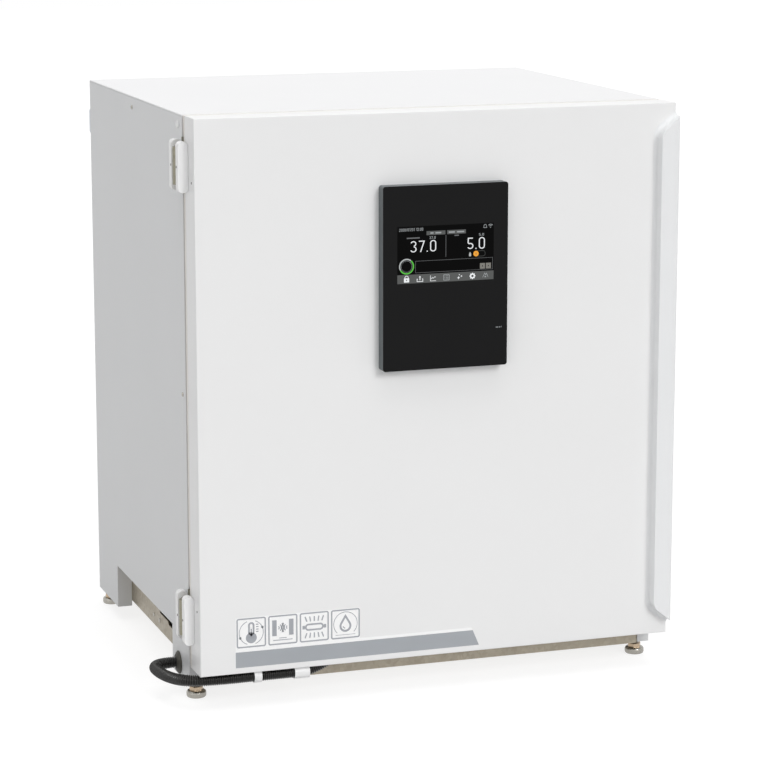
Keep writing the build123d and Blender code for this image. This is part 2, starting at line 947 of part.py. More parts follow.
def inner_hinge_brackets():
    brackets = []
    for z in inner_hinge_z:
        third = inner_hinge_length / 6
        half = inner_hinge_length / 2
        plate_x0 = -liner_half - gasket_inset + 1
        plate_x1 = inner_axis_x - inner_knuckle - 0.5
        plate = block(plate_x0, plate_x1, -fit_gap - 2, -fit_gap, z - half, z + half)
        arm = block(plate_x1 - 1, inner_axis_x, -fit_gap - 2, -fit_gap, z - third, z + third)
        knuckle = rod_z(inner_knuckle, inner_axis_x, -inner_axis_y, z - third, z + third)
        pin = rod_z(inner_pin, inner_axis_x, -inner_axis_y, z - half - 1, z + half + 1)
        brackets.append(joined(plate, arm, knuckle, pin))
    return brackets


def latch_knob():
    y_seat = -glass_frame_front - fit_gap
    tongue = block(-6, 6, y_seat - 1.8, y_seat, 0, latch_tongue)
    tongue = joined(tongue, rod_y(8, 0, 0, y_seat - 1.8, y_seat))
    knob = rod_y(latch_radius, 0, 0, y_seat - 11.5, y_seat - 1.8)
    for k in range(8):
        flute = Rot(0, k * 45, 0) * rod_y(3.2, latch_radius + 1.6, 0, y_seat - 12, y_seat - 3.5)
        knob -= flute
    spindle = rod_y(latch_spindle, 0, 0, y_seat, glass_groove_y - 2 * fit_gap)
    return Pos(latch_x, 0, latch_z) * joined(tongue, knob, spindle)


# Air circulation
def fan_impeller():
    hub_radius = 9.0
    y_back = fan_back_y + 2
    y_front = fan_back_y - fan_depth
    plate = rod_y(fan_radius, 0, 0, fan_back_y, y_back)
    hub = rod_y(hub_radius, 0, 0, y_front + 2, fan_back_y)
    ring = along_y(Circle(fan_radius) - Circle(fan_radius - 12), y_front - 1.2, y_front)
    wheel = joined(plate, hub)
    root = (24.0, 0.0)
    tip_angle = math.radians(26)
    tip_radius = fan_radius - 1.5
    tip = (tip_radius * math.cos(tip_angle), tip_radius * math.sin(tip_angle))
    middle = ((root[0] + tip[0]) / 2 + 4.5, (root[1] + tip[1]) / 2 - 5.5)
    spine = ThreePointArc(root, middle, tip)
    blade_area = make_face(offset(spine, blade_thickness / 2, side=Side.BOTH))
    blade = along_y(blade_area, y_front, fan_back_y)
    for k in range(fan_blades):
        wheel = wheel + Rot(0, k * 360 / fan_blades, 0) * blade
    shaft = rod_y(fan_shaft, 0, 0, y_front + 2, rear_compartment + 24)
    return Pos(0, 0, fan_z) * joined(wheel, ring, shaft)


def fan_bush():
    bore = fan_shaft + running_gap
    flange = along_y(Circle(12) - Circle(bore), chamber_rear - 2.5, chamber_rear)
    neck = along_y(Circle(8) - Circle(bore), chamber_rear, chamber_rear + 9)
    return Pos(0, 0, fan_z) * joined(flange, neck)


def fan_motor():
    bore = rod_y(fan_shaft + running_gap, 0, 0, rear_compartment, rear_compartment + 25)
    flange = rod_y(motor_flange_radius, 0, 0, rear_compartment, rear_compartment + 3)
    body = rod_y(motor_radius, 0, 0, rear_compartment + 3, rear_compartment + 32)
    body = fillet(body.edges().sort_by(Axis.Y)[-1], 4)
    for k in range(4):
        hole = Rot(0, 45 + k * 90, 0) * rod_y(1.8, motor_flange_radius - 4, 0, 0, rear_compartment + 4)
        flange -= hole
    return Pos(0, 0, fan_z) * (joined(flange, body) - bore)


def duct_panel():
    y1 = chamber_rear - fit_gap
    outer = block(-duct_half_width, duct_half_width, duct_front_y, y1, duct_bottom, duct_top)
    fold = outer.edges().filter_by(Axis.Z).sort_by(Axis.Y)[:2]
    outer = fillet(fold, 6)
    inner = block(
        -duct_half_width + liner_sheet,
        duct_half_width - liner_sheet,
        duct_front_y + liner_sheet,
        y1 + 1,
        duct_bottom + liner_sheet,
        duct_top - liner_sheet,
    )
    inner = fillet(inner.edges().filter_by(Axis.Z).sort_by(Axis.Y)[:2], 6 - liner_sheet)
    cuts = [inner]
    for radius, count in ((16, 6), (32, 12), (47, 18)):
        for k in range(count):
            hole = Pos(radius, 0) * SlotOverall(9, 5)
            place = Pos(0, fan_z) * Rot(0, 0, k * 360 / count)
            cuts.append(along_y(place * hole, duct_front_y - 1, duct_front_y + 3))
    for row in range(4):
        for column in (-1, 0, 1):
            slot = Pos(column * 62, duct_bottom + 22 + row * 14) * Rectangle(44, 6)
            cuts.append(along_y(slot, duct_front_y - 1, duct_front_y + 3))
    return cut(outer, *cuts)


def uv_lamp():
    x = duct_half_width - lamp_inset
    y = chamber_rear - lamp_wall_gap - lamp_radius
    z0 = duct_bottom + lamp_rise
    z1 = fan_z - lamp_drop
    half = lamp_radius + 3.5
    lamp = [rod_z(lamp_radius, x, y, z0 + fit_gap, z1 - fit_gap)]
    for za, zb in ((z0 - lamp_socket, z0), (z1, z1 + lamp_socket)):
        lamp.append(block(x - half, x + half, y - half + 2, chamber_rear - fit_gap, za, zb))
    return lamp


def chamber_sensors():
    y_wall = chamber_rear - fit_gap
    profile = make_face(
        Polyline((0, 0), (18, 0), (18, 3), (12, 3), (12, 26), (9, 31), (0, 31), close=True)
    )
    head = Pos(sensor_x, y_wall, sensor_z) * Rot(90, 0, 0) * revolve(Plane.XZ * profile, Axis.Z)
    for k in range(6):
        guard = Rot(0, k * 60, 0) * block(-1.5, 1.5, y_wall - 27, y_wall - 9, 9, 14)
        head -= Pos(sensor_x, 0, sensor_z) * guard
    probe_x = sensor_x + sensor_spacing
    probe = joined(
        rod_y(9, probe_x, sensor_z, y_wall - 3, y_wall),
        rod_y(3, probe_x, sensor_z, y_wall - 42, y_wall - 3),
    )
    return [head, probe]


# Shelves, racks and pan
def shelf_levels():
    return [shelf_first_z + k * shelf_pitch for k in range(shelf_count)]


def shelf(level):
    z0 = level + fit_gap
    y1 = shelf_rear_y
    tray = along_z(area(-shelf_half_width, shelf_half_width, shelf_front_y, y1, 8), z0, z0 + shelf_rim)
    inside = area(
        -shelf_half_width + shelf_sheet,
        shelf_half_width - shelf_sheet,
        shelf_front_y + shelf_sheet,
        y1 - shelf_sheet,
        8 - shelf_sheet,
    )
    tray -= along_z(inside, z0 + shelf_sheet, z0 + shelf_rim + 1)
    slot_span_x = 2 * shelf_half_width - 60
    slot_span_y = y1 - shelf_front_y - 60
    step_x = slot_span_x / slot_columns
    step_y = slot_span_y / (slot_rows - 1)
    for column in range(slot_columns):
        for row in range(slot_rows):
            x = -slot_span_x / 2 + (column + 0.5) * step_x
            y = shelf_front_y + 30 + row * step_y
            slot = Pos(x, y) * Rectangle(step_x - 22, slot_width)
            tray -= along_z(slot, z0 - 1, z0 + shelf_sheet + 1)
    return tray


def shelf_rack():
    x_wall = -chamber_half + fit_gap
    x_in = x_wall + rack_depth
    levels = shelf_levels()
    rack = None
    for y in upright_y:
        upright = block(
            x_wall, x_in, y - upright_width / 2, y + upright_width / 2, levels[0] - 50, levels[-1] + 60
        )
        channel = block(
            x_wall - 1,
            x_in - 1.5,
            y - upright_width / 2 + 1.5,
            y + upright_width / 2 - 1.5,
            levels[0] - 51,
            levels[-1] + 61,
        )
        upright -= channel
        rack = upright if rack is None else rack + upright
    y0 = shelf_front_y
    y1 = shelf_rear_y
    for level in levels:
        ledge = block(x_in, x_in + ledge_width, y0, y1, level - ledge_sheet, level)
        web = block(x_in, x_in + ledge_sheet, y0, y1, level - 14, level - ledge_sheet)
        rack = joined(rack, ledge, web)
    return rack


def water_pan():
    z0 = chamber_bottom + fit_gap
    y1 = pan_rear_y
    body = along_z(area(-pan_half_width, pan_half_width, pan_front_y, y1, pan_corner), z0, z0 + pan_height)
    inside = area(
        -pan_half_width + pan_sheet,
        pan_half_width - pan_sheet,
        pan_front_y + pan_sheet,
        y1 - pan_sheet,
        pan_corner - pan_sheet,
    )
    return body - along_z(inside, z0 + pan_sheet, z0 + pan_height + 1)


# Ports, gas line and electrics at the back
def access_tube():
    y0 = chamber_rear - 3
    y1 = cabinet_depth + 3
    tube = along_y(Circle(port_tube) - Circle(port_bore), y0, y1)
    inner_flange = along_y(Circle(port_flange) - Circle(port_bore), y0, chamber_rear - fit_gap)
    outer_flange = along_y(Circle(port_flange) - Circle(port_bore), cabinet_depth + fit_gap, y1)
    return Pos(port_x, 0, port_z) * joined(tube, inner_flange, outer_flange)


def access_plug():
    y_head = cabinet_depth + 3 + fit_gap
    stem = Circle(port_bore - fit_gap)
    body = along_y(stem, y_head - plug_length, y_head)
    body = chamfer(body.edges().sort_by(Axis.Y)[0], 2)
    head = rod_y(plug_head, 0, 0, y_head, y_head + 9)
    head = fillet(head.edges().sort_by(Axis.Y)[-1], 3)
    return Pos(port_x, 0, port_z) * joined(body, head)


def gas_inlet():
    y0 = cabinet_depth + fit_gap
    nut = along_y(RegularPolygon(gas_hex / 2, 6, major_radius=False), y0, y0 + 4)
    stub = rod_y(gas_stub, 0, 0, y0 + 4, y0 + 4 + gas_stub_length)
    inside = rod_y(gas_stub, 0, 0, side_depth - 8, y0)
    return Pos(gas_x, 0, gas_z) * joined(nut, stub, inside)


def gas_valve():
    y0 = rear_compartment
    body = block(gas_x - 16, gas_x + 16, y0, y0 + 26, gas_z + 90, gas_z + 118)
    coil = rod_z(12, gas_x, y0 + 13, gas_z + 118, gas_z + 150)
    coil = fillet(coil.edges().sort_by(Axis.Z)[-1], 2)
    inlet = rod_z(gas_stub, gas_x, y0 + 13, gas_z + 82, gas_z + 90)
    return joined(body, coil, inlet)


def gas_hose():
    radius = 3.0
    y_inlet = side_depth - 8
    y_valve = rear_compartment + 13
    z_valve = gas_z + 82
    points = [
        (gas_x, y_inlet, gas_z),
        (gas_x, y_valve, gas_z),
        (gas_x, y_valve, z_valve),
    ]
    route = FilletPolyline(*points, radius=14)
    return sweep(Plane(route @ 0, z_dir=route % 0) * Circle(radius), path=route)


def circuit_board():
    y0 = rear_compartment
    x0 = -half_width + board_inset
    x1 = x0 + board_width
    z0 = chamber_mid - board_height / 2 - 10
    z1 = z0 + board_height
    y_top = y0 + board_standoff + 1.6
    board = block(x0, x1, y0 + board_standoff, y_top, z0, z1)
    for x in (x0 + 8, x1 - 8):
        for z in (z0 + 8, z1 - 8):
            board += rod_y(3, x, z, y0, y0 + board_standoff)
    transformer = block(x0 + 15, x0 + 65, y_top, y_top + 24, z0 + 20, z0 + 62)
    heat_sink = block(x1 - 60, x1 - 20, y_top, y_top + 3.4, z0 + 20, z0 + 80)
    for k in range(5):
        fin_x = x1 - 59 + k * 9
        heat_sink += block(fin_x, fin_x + 2, y_top + 3.4, y_top + 18, z0 + 20, z0 + 80)
    board = joined(board, transformer, heat_sink)
    for k in range(3):
        board += rod_y(8, x0 + 95 + k * 20, z0 + 40, y_top, y_top + 20)
    for k in range(4):
        board += block(x0 + 18 + k * 44, x0 + 46 + k * 44, y_top, y_top + 8, z1 - 30, z1 - 16)
    return board


def mains_inlet():
    y_out = cabinet_depth + 3
    x0 = mains_x - mains_width / 2
    x1 = mains_x + mains_width / 2
    z0 = mains_z - mains_height / 2
    z1 = mains_z + mains_height / 2
    flange = along_y(area(x0, x1, z0, z1, 3), cabinet_depth + fit_gap, y_out)
    body = block(x0 + 4.3, x1 - 4.3, y_out - 32, cabinet_depth + fit_gap, z0 + 3.3, z1 - 3.3)
    recess = along_y(mains_socket_outline(0), y_out - 17, y_out + 1)
    pocket = block(rocker_x() - 6, rocker_x() + 6, y_out - 13, y_out + 1, mains_z - 10.3, mains_z + 10.3)
    pivot = rod_x(1.5 + running_gap, rocker_y(), mains_z, rocker_x() - 7, rocker_x() + 7)
    inlet = cut(joined(flange, body), recess, pocket, pivot)
    for dx, dz in ((-7, 0), (7, 0), (0, 4)):
        x = mains_x - 11 + dx
        z = mains_z - 1 + dz
        inlet += block(x - 1, x + 1, y_out - 17, y_out - 8, z - 2, z + 2)
    return inlet


def mains_socket_outline(grow):
    x = mains_x - 11
    w = 13.5 + grow
    h = 9.0 + grow
    return make_face(
        Polyline(
            (x - w, mains_z - h),
            (x + w, mains_z - h),
            (x + w, mains_z + h - 5),
            (x + w - 5, mains_z + h),
            (x - w + 5, mains_z + h),
            (x - w, mains_z + h - 5),
            close=True,
        )
    )


def rocker_x():
    return mains_x + 17


def rocker_y():
    return cabinet_depth - 2


def power_rocker():
    profile = make_face(
        Polyline((-5, -8.5), (-5, 8.5), (7, 8.5), (4.2, 0), (7, -8.5), close=True)
    )
    key = along_x(profile, -5.5, 5.5)
    pivot = rod_x(1.5, 0, 0, -6.8, 6.8)
    return Pos(rocker_x(), rocker_y(), mains_z) * Rot(7, 0, 0) * joined(key, pivot)


def rear_spacers():
    x0 = -half_width + 2
    outline = area(x0, x0 + spacer_width, spacer_bottom, spacer_bottom + spacer_height, 6)
    spacer = along_y(outline, cabinet_depth + fit_gap, cabinet_depth + spacer_depth)
    rear = spacer.faces().sort_by(Axis.Y)[-1]
    return both_sides(fillet(rear.edges(), 4))


# Screws and the blanking plug
def screw_head():
    profile = make_face(Polyline((0, 0), (3.6, 0), (3.2, 1.2), (1.8, 1.9), (0, 1.9), close=True))
    return revolve(Plane.XZ * profile, Axis.Z)


def cabinet_screws():
    head = screw_head()
    screws = []
    side_places = (
        (cabinet_depth / 2 + 5.5, cabinet_height - screw_margin),
        (edge_return - 4.3, chamber_mid - 20),
    )
    for y, z in side_places:
        screws += both_sides(Pos(-half_width, y, z) * Rot(0, -90, 0) * head)
    for y in (base_cut_rear + 1, base_cut_rear + 39):
        screws += both_sides(Pos(-base_half_width, y, base_bottom + 17) * Rot(0, -90, 0) * head)
    lowest = notch_top + 2 * screw_margin
    span = cabinet_height - screw_margin - lowest
    for k in range(4):
        z = lowest + span * k / 3
        screws += both_sides(Pos(-half_width + 10, cabinet_depth, z) * Rot(-90, 0, 0) * head)
    return screws


def hole_plug():
    cap = rod_x(6, 25, cabinet_height - 16, -half_width - 1.6, -half_width)
    return fillet(cap.edges().sort_by(Axis.X)[0], 0.8)


pieces = {
    "side_panel_left": left_panel(),
    "side_panel_right": mirror(side_panel(), about=Plane.YZ),
    "top_panel": top_panel(),
    "back_panel": back_panel(),
    "front_frame": front_frame(),
    "insulation": insulation(),
    "inner_chamber": inner_chamber(),
    "rear_bulkhead": rear_bulkhead(),
    "base_frame": base_frame(),
    "hinge_leaves_cabinet": cabinet_leaves(),
    "hinge_leaves_door": door_leaves(),
    "hinge_pins": hinge_pins(),
    "hinge_covers_cabinet": hinge_covers(cover_rear_y, cover_rear_y + cover_depth),
    "hinge_covers_door": hinge_covers(-cover_front_y, -cover_front_y + cover_depth),
    "door_skin": door_skin(),
    "door_frame": door_frame(),
    "door_liner": door_liner(),
    "door_insulation": door_insulation(),
    "door_gasket": door_gasket(),
    "door_grip": door_grip(),
    "panel_housing": panel_housing(),
    "panel_glass": panel_glass(),
    "display_module": display_module(),
    "usb_cover": usb_cover(),
    "conduit_loop": conduit_loop(),
    "conduit_door_run": conduit_door_run(),
    "conduit_clips": conduit_clips(),
    "cable_grommet": cable_grommet(),
    "inner_door_frame": inner_door_frame(),
    "inner_glass": inner_glass(),
    "inner_door_gasket": inner_door_gasket(),
    "inner_hinge_brackets": inner_hinge_brackets(),
    "latch_knob": latch_knob(),
    "fan_impeller": fan_impeller(),
    "fan_bush": fan_bush(),
    "fan_motor": fan_motor(),
    "duct_panel": duct_panel(),
    "uv_lamp": uv_lamp(),
    "chamber_sensors": chamber_sensors(),
    "shelf_racks": both_sides(shelf_rack()),
    "water_pan": water_pan(),
    "access_tube": access_tube(),
    "access_plug": access_plug(),
    "gas_inlet": gas_inlet(),
    "gas_valve": gas_valve(),
    "gas_hose": gas_hose(),
    "circuit_board": circuit_board(),
    "mains_inlet": mains_inlet(),
    "power_rocker": power_rocker(),
    "rear_spacers": rear_spacers(),
    "cabinet_screws": cabinet_screws(),
    "hole_plug": hole_plug(),
}
for k, level in enumerate(shelf_levels()):
    pieces[f"shelf_{k + 1}"] = shelf(level)
foot_names = ("foot_front_left", "foot_front_right", "foot_rear_left", "foot_rear_right")
for name, (x, y) in zip(foot_names, foot_centres()):
    pieces[name] = levelling_foot(x, y)

os.makedirs("parts", exist_ok=True)
to_frame = Pos(-footprint_mid[0], -footprint_mid[1], 0)
for name, shape in pieces.items():
    solids = shape if isinstance(shape, list) else [shape]
    placed = [to_frame * solid for solid in solids]
    export_step(placed[0] if len(placed) == 1 else Compound(children=placed), f"parts/{name}.step")
print(len(pieces), "nodes written")
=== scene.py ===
import json
import math

import bmesh
import bpy
from mathutils import Matrix, Vector
from mathutils.geometry import tessellate_polygon


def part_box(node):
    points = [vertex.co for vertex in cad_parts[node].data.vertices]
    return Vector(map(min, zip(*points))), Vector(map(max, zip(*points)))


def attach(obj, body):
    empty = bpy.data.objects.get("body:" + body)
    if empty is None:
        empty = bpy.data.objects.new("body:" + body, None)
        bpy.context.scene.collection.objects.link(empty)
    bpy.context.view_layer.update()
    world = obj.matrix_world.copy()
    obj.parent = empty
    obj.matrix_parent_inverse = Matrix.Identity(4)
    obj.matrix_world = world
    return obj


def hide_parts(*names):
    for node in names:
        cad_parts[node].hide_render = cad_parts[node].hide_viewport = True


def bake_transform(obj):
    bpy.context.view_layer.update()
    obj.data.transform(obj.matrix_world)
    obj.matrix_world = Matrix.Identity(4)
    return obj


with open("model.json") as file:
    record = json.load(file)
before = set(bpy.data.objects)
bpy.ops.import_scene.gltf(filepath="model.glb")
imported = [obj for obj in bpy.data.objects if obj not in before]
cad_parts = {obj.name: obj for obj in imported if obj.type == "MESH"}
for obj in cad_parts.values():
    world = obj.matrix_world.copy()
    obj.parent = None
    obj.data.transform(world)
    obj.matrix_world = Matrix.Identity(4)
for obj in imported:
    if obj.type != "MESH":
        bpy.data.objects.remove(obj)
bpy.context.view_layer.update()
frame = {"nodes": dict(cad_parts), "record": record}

mm = 0.001
sharpAngle = 32
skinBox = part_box("door_skin")
middleX = (skinBox[0][0] + skinBox[1][0]) / 2
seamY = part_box("top_panel")[0][1]
bodyOf = {}
for body, held in frame["record"]["behaviour"]["bodies"].items():
    bodyOf.update(dict.fromkeys(held, body))


def spot(x, y, z):  # millimetres from the cabinet's middle, the door seam and the floor
    return Vector((middleX + x * mm, seamY + y * mm, z * mm))


def tint(red, green, blue):  # a colour as it looks on a screen, 0 to 255
    def straight(value):
        value = value / 255
        return value / 12.92 if value <= 0.04045 else ((value + 0.055) / 1.055) ** 2.4
    return (straight(red), straight(green), straight(blue), 1.0)


def shade(colour, factor):
    return tuple(min(1.0, part * factor) for part in colour[:3]) + (1.0,)


# Finishes
def startFinish(name):
    finish = bpy.data.materials.new(name)
    finish.use_nodes = True
    nodes = finish.node_tree.nodes
    return finish, nodes, finish.node_tree.links, nodes["Principled BSDF"]


def grainOf(nodes, links, size, detail=3.0, stretch=(1, 1, 1)):  # size is the grain in millimetres
    place = nodes.new("ShaderNodeTexCoord")
    fit = nodes.new("ShaderNodeMapping")
    fit.inputs["Scale"].default_value = stretch
    grain = nodes.new("ShaderNodeTexNoise")
    grain.inputs["Scale"].default_value = 1000 / size
    grain.inputs["Detail"].default_value = detail
    links.new(place.outputs["Object"], fit.inputs["Vector"])
    links.new(fit.outputs["Vector"], grain.inputs["Vector"])
    return grain.outputs["Fac"]


def spread(nodes, links, value, low, high):
    ramp = nodes.new("ShaderNodeMapRange")
    ramp.inputs["From Min"].default_value = 0.3
    ramp.inputs["From Max"].default_value = 0.7
    ramp.inputs["To Min"].default_value = low
    ramp.inputs["To Max"].default_value = high
    links.new(value, ramp.inputs["Value"])
    return ramp.outputs["Result"]


def blendColours(nodes, links, value, first, second):
    ramp = nodes.new("ShaderNodeValToRGB")
    ramp.color_ramp.elements[0].position = 0.3
    ramp.color_ramp.elements[0].color = first
    ramp.color_ramp.elements[1].position = 0.7
    ramp.color_ramp.elements[1].color = second
    links.new(value, ramp.inputs["Fac"])
    return ramp.outputs["Color"]


def coated(name, colour, rough=0.4, grain=1.2, relief=0.02, drift=0.02, clouds=120, gloss=0.5):
    # paint, plastic or rubber: cloudy colour, uneven gloss and a fine surface grain
    finish, nodes, links, shader = startFinish(name)
    cloud = grainOf(nodes, links, clouds, 2.0)
    fine = grainOf(nodes, links, grain)
    links.new(
        blendColours(nodes, links, cloud, shade(colour, 1 - drift), shade(colour, 1 + drift)),
        shader.inputs["Base Color"],
    )
    links.new(spread(nodes, links, fine, rough * 0.9, rough * 1.1), shader.inputs["Roughness"])
    shader.inputs["Specular IOR Level"].default_value = gloss
    bump = nodes.new("ShaderNodeBump")
    bump.inputs["Strength"].default_value = 0.35
    bump.inputs["Distance"].default_value = relief * mm
    links.new(fine, bump.inputs["Height"])
    links.new(bump.outputs["Normal"], shader.inputs["Normal"])
    return finish


def brushed(name, colour, rough, lines, relief=0.01):
    # metal with fine lines: lines stretches the grain along X, Y and Z
    finish, nodes, links, shader = startFinish(name)
    streak = grainOf(nodes, links, 1.0, 2.0, lines)
    cloud = grainOf(nodes, links, 90, 2.0)
    links.new(
        blendColours(nodes, links, cloud, shade(colour, 0.93), shade(colour, 1.05)),
        shader.inputs["Base Color"],
    )
    links.new(spread(nodes, links, streak, rough * 0.8, rough * 1.25), shader.inputs["Roughness"])
    shader.inputs["Metallic"].default_value = 1.0
    bump = nodes.new("ShaderNodeBump")
    bump.inputs["Strength"].default_value = 0.3
    bump.inputs["Distance"].default_value = relief * mm
    links.new(streak, bump.inputs["Height"])
    links.new(bump.outputs["Normal"], shader.inputs["Normal"])
    return finish


def spangled(name, colour, rough=0.5, size=5.0):
    # zinc coated sheet: crystals of this size in millimetres, each a little lighter or darker
    finish, nodes, links, shader = startFinish(name)
    place = nodes.new("ShaderNodeTexCoord")
    cells = nodes.new("ShaderNodeTexVoronoi")
    cells.inputs["Scale"].default_value = 1000 / size
    links.new(place.outputs["Object"], cells.inputs["Vector"])
    patch = nodes.new("ShaderNodeSeparateColor")
    links.new(cells.outputs["Color"], patch.inputs["Color"])
    links.new(
        blendColours(nodes, links, patch.outputs["Red"], shade(colour, 0.95), shade(colour, 1.04)),
        shader.inputs["Base Color"],
    )
    links.new(
        spread(nodes, links, patch.outputs["Green"], rough * 0.85, rough * 1.15),
        shader.inputs["Roughness"],
    )
    shader.inputs["Metallic"].default_value = 0.75
    return finish


def clearGlass(name, colour, rough=0.02):
    finish, nodes, links, shader = startFinish(name)
    smear = grainOf(nodes, links, 60, 4.0)
    links.new(spread(nodes, links, smear, rough, rough + 0.05), shader.inputs["Roughness"])
    links.new(
        blendColours(nodes, links, smear, colour, shade(colour, 1.04)), shader.inputs["Base Color"]
    )
    shader.inputs["Transmission Weight"].default_value = 1.0
    shader.inputs["IOR"].default_value = 1.5
    return finish


def lit(name, colour):
    # what the display shows: light from tiny picture cells under smooth glass
    finish, nodes, links, shader = startFinish(name)
    cells = grainOf(nodes, links, 0.4, 0.0)
    shown = blendColours(nodes, links, cells, shade(colour, 0.94), colour)
    links.new(shown, shader.inputs["Emission Color"])
    shader.inputs["Emission Strength"].default_value = 1.0
    shader.inputs["Base Color"].default_value = (0.0, 0.0, 0.0, 1.0)
    links.new(spread(nodes, links, cells, 0.12, 0.16), shader.inputs["Roughness"])
    return finish


# coated: colour, roughness, grain and relief in millimetres, colour drift, cloud size, gloss
# brushed: colour, roughness, how the grain is stretched along X, Y and Z, relief
finishes = {
    "doorPaint": coated("door_paint", tint(241, 241, 241), 0.38, 1.6, 0.012, 0.006, 240),
    # painted shade: the side and back panels get a greyer copy of the door's white paint, so the sides
    # look darker
    "sideShadedPaint": coated("cabinet_paint_shaded", tint(221, 222, 223), 0.42, 1.6, 0.012, 0.008, 240),
    # painted shade: the lid gets a slightly darker copy of the door's white paint, toning down the
    # brightly lit top
    "lidShadedPaint": coated("lid_paint_shaded", tint(237, 237, 238), 0.42, 1.6, 0.012, 0.006, 240),
    "edgeStrip": coated("door_edge_plastic", tint(236, 234, 230), 0.45, 0.8, 0.01, 0.015, 80),
    "gripPlastic": coated("grip_plastic", tint(238, 239, 240), 0.4, 0.7, 0.01, 0.008, 120),
    "whitePlastic": coated("white_plastic", tint(250, 250, 250), 0.42, 0.6, 0.01, 0.006, 40),
    "bluishPlastic": coated("bluish_white_plastic", tint(214, 221, 230), 0.42, 0.6, 0.01, 0.02, 30),
    "blackPlastic": coated("black_plastic", tint(26, 25, 23), 0.45, 0.5, 0.02, 0.12, 25),
    "conduitBlack": coated("conduit_black", tint(18, 17, 14), 0.3, 0.4, 0.02, 0.2, 12),
    "blackRubber": coated("black_rubber", tint(66, 64, 57), 0.6, 0.4, 0.03, 0.15, 12),
    "greyRubber": coated("grey_silicone", tint(150, 153, 155), 0.55, 0.4, 0.02, 0.06, 25),
    "panelFrame": coated("panel_frame_grey", tint(84, 91, 94), 0.36, 0.5, 0.012, 0.04, 40, 0.4),
    "panelGlass": coated("panel_black_glass", tint(9, 9, 10), 0.12, 30, 0.004, 0.1, 60, 0.14),
    "screenBlack": coated("screen_black", tint(2, 2, 2), 0.14, 0.4, 0.002, 0.2, 20, 0.05),
    "stripeGrey": coated("stripe_grey", tint(166, 170, 175), 0.45, 0.5, 0.006, 0.012, 60),
    "decalWhite": coated("decal_white", tint(254, 254, 254), 0.3, 0.5, 0.004, 0.003, 60),
    "decalInk": coated("decal_ink", tint(165, 168, 174), 0.4, 0.3, 0.004, 0.03, 10),
    "sealCream": coated("door_seal", tint(240, 230, 220), 0.6, 0.5, 0.02, 0.02, 25),
    # painted shade: dark discs stand for the shaded screw holes
    "holeShadeDot": coated("screw_hole_shade", tint(74, 70, 64), 0.5, 0.4, 0.02, 0.1, 4),
    "foam": coated("rigid_foam", tint(214, 203, 160), 0.9, 2.5, 0.4, 0.08, 15),
    "board": coated("circuit_green", tint(28, 92, 58), 0.4, 0.8, 0.03, 0.1, 8),
    "stainless": brushed("brushed_stainless", tint(196, 198, 200), 0.3, (0.02, 0.4, 1.2)),
    "liner": brushed("polished_liner", tint(206, 208, 210), 0.26, (0.03, 0.03, 0.9)),
    "brass": brushed("turned_brass", tint(205, 170, 96), 0.3, (0.6, 0.05, 0.6)),
    "zinc": brushed("bright_zinc", tint(166, 163, 156), 0.26, (0.5, 0.5, 1.5), 0.02),
    "nutZinc": brushed("warm_zinc", tint(190, 170, 146), 0.3, (0.5, 0.5, 1.5), 0.02),
    "steelLeaf": brushed("hinge_steel", tint(142, 139, 124), 0.42, (0.3, 0.3, 1.0), 0.02),
    "galvanised": spangled("zinc_coated_sheet", tint(165, 157, 142)),
    "glass": clearGlass("inner_door_glass", (0.93, 0.97, 0.95, 1.0)),
    "lampGlass": clearGlass("lamp_glass", (0.9, 0.92, 0.98, 1.0), 0.05),
    "shownWhite": lit("shown_white", tint(235, 238, 240)),
    "shownGrey": lit("shown_grey", tint(96, 98, 100)),
    "shownBar": lit("shown_bar", tint(72, 74, 73)),
    "shownDim": lit("shown_dim", tint(150, 154, 156)),
    "shownSoft": lit("shown_soft", tint(176, 180, 180)),
    "shownKey": lit("shown_key", tint(118, 116, 110)),
    "shownGreen": lit("shown_green", tint(75, 185, 50)),
    "shownOrange": lit("shown_orange", tint(240, 160, 20)),
}
print("finishes made")


# Making pieces
def asPiece(name, mesh, finish, body, replaced=(), slotName=None):
    piece = bpy.data.objects.new(name, mesh)
    bpy.context.scene.collection.objects.link(piece)
    if finish:
        mesh.materials.clear()
        mesh.materials.append(finishes[finish])
    if body:
        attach(piece, body)
    if replaced:
        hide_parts(*replaced)
        slotName = slotName or slotOf(replaced[0])
    return piece


def slotOf(node):
    for part in frame["record"]["subparts"]:
        if part["node"] == node:
            return part["material_slot"]
    return None


def shownMesh(holder):  # the mesh of an object with its modifiers applied
    graph = bpy.context.evaluated_depsgraph_get()
    return bpy.data.meshes.new_from_object(holder.evaluated_get(graph))


def mergedMesh(node):  # a merged copy of a CAD node's triangles, flat areas made whole again
    source = frame["nodes"][node]
    mesh = source.data.copy()
    mesh.transform(source.matrix_world)
    work = bmesh.new()
    work.from_mesh(mesh)
    bmesh.ops.remove_doubles(work, verts=work.verts, dist=0.005 * mm)
    bmesh.ops.dissolve_limit(work, angle_limit=math.radians(0.5), verts=work.verts, edges=work.edges)
    work.to_mesh(mesh)
    work.free()
    return mesh


def brokenEdges(piece, edge, steps=2):
    # sharp edges get a small round, as folded, moulded and cut ones have
    piece.data.shade_smooth()
    if edge:
        rounding = piece.modifiers.new("broken edge", "BEVEL")
        rounding.width = edge * mm
        rounding.segments = steps
        rounding.limit_method = "ANGLE"
        rounding.angle_limit = math.radians(sharpAngle)
        rounding.use_clamp_overlap = True
    else:
        piece.data.set_sharp_from_angle(angle=math.radians(sharpAngle))
    evened = piece.modifiers.new("even shading", "WEIGHTED_NORMAL")
    evened.keep_sharp = True
    plain = shownMesh(piece)
    piece.modifiers.clear()
    piece.data = plain


def takePlace(piece, node, edge, steps=2):
    # a piece of the scene takes its CAD node's place and body
    brokenEdges(piece, edge, steps)
    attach(piece, bodyOf[node])
    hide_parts(node)


def finePiece(node, finish, edge):
    takePlace(asPiece(node + "_fine", mergedMesh(node), finish, None), node, edge)


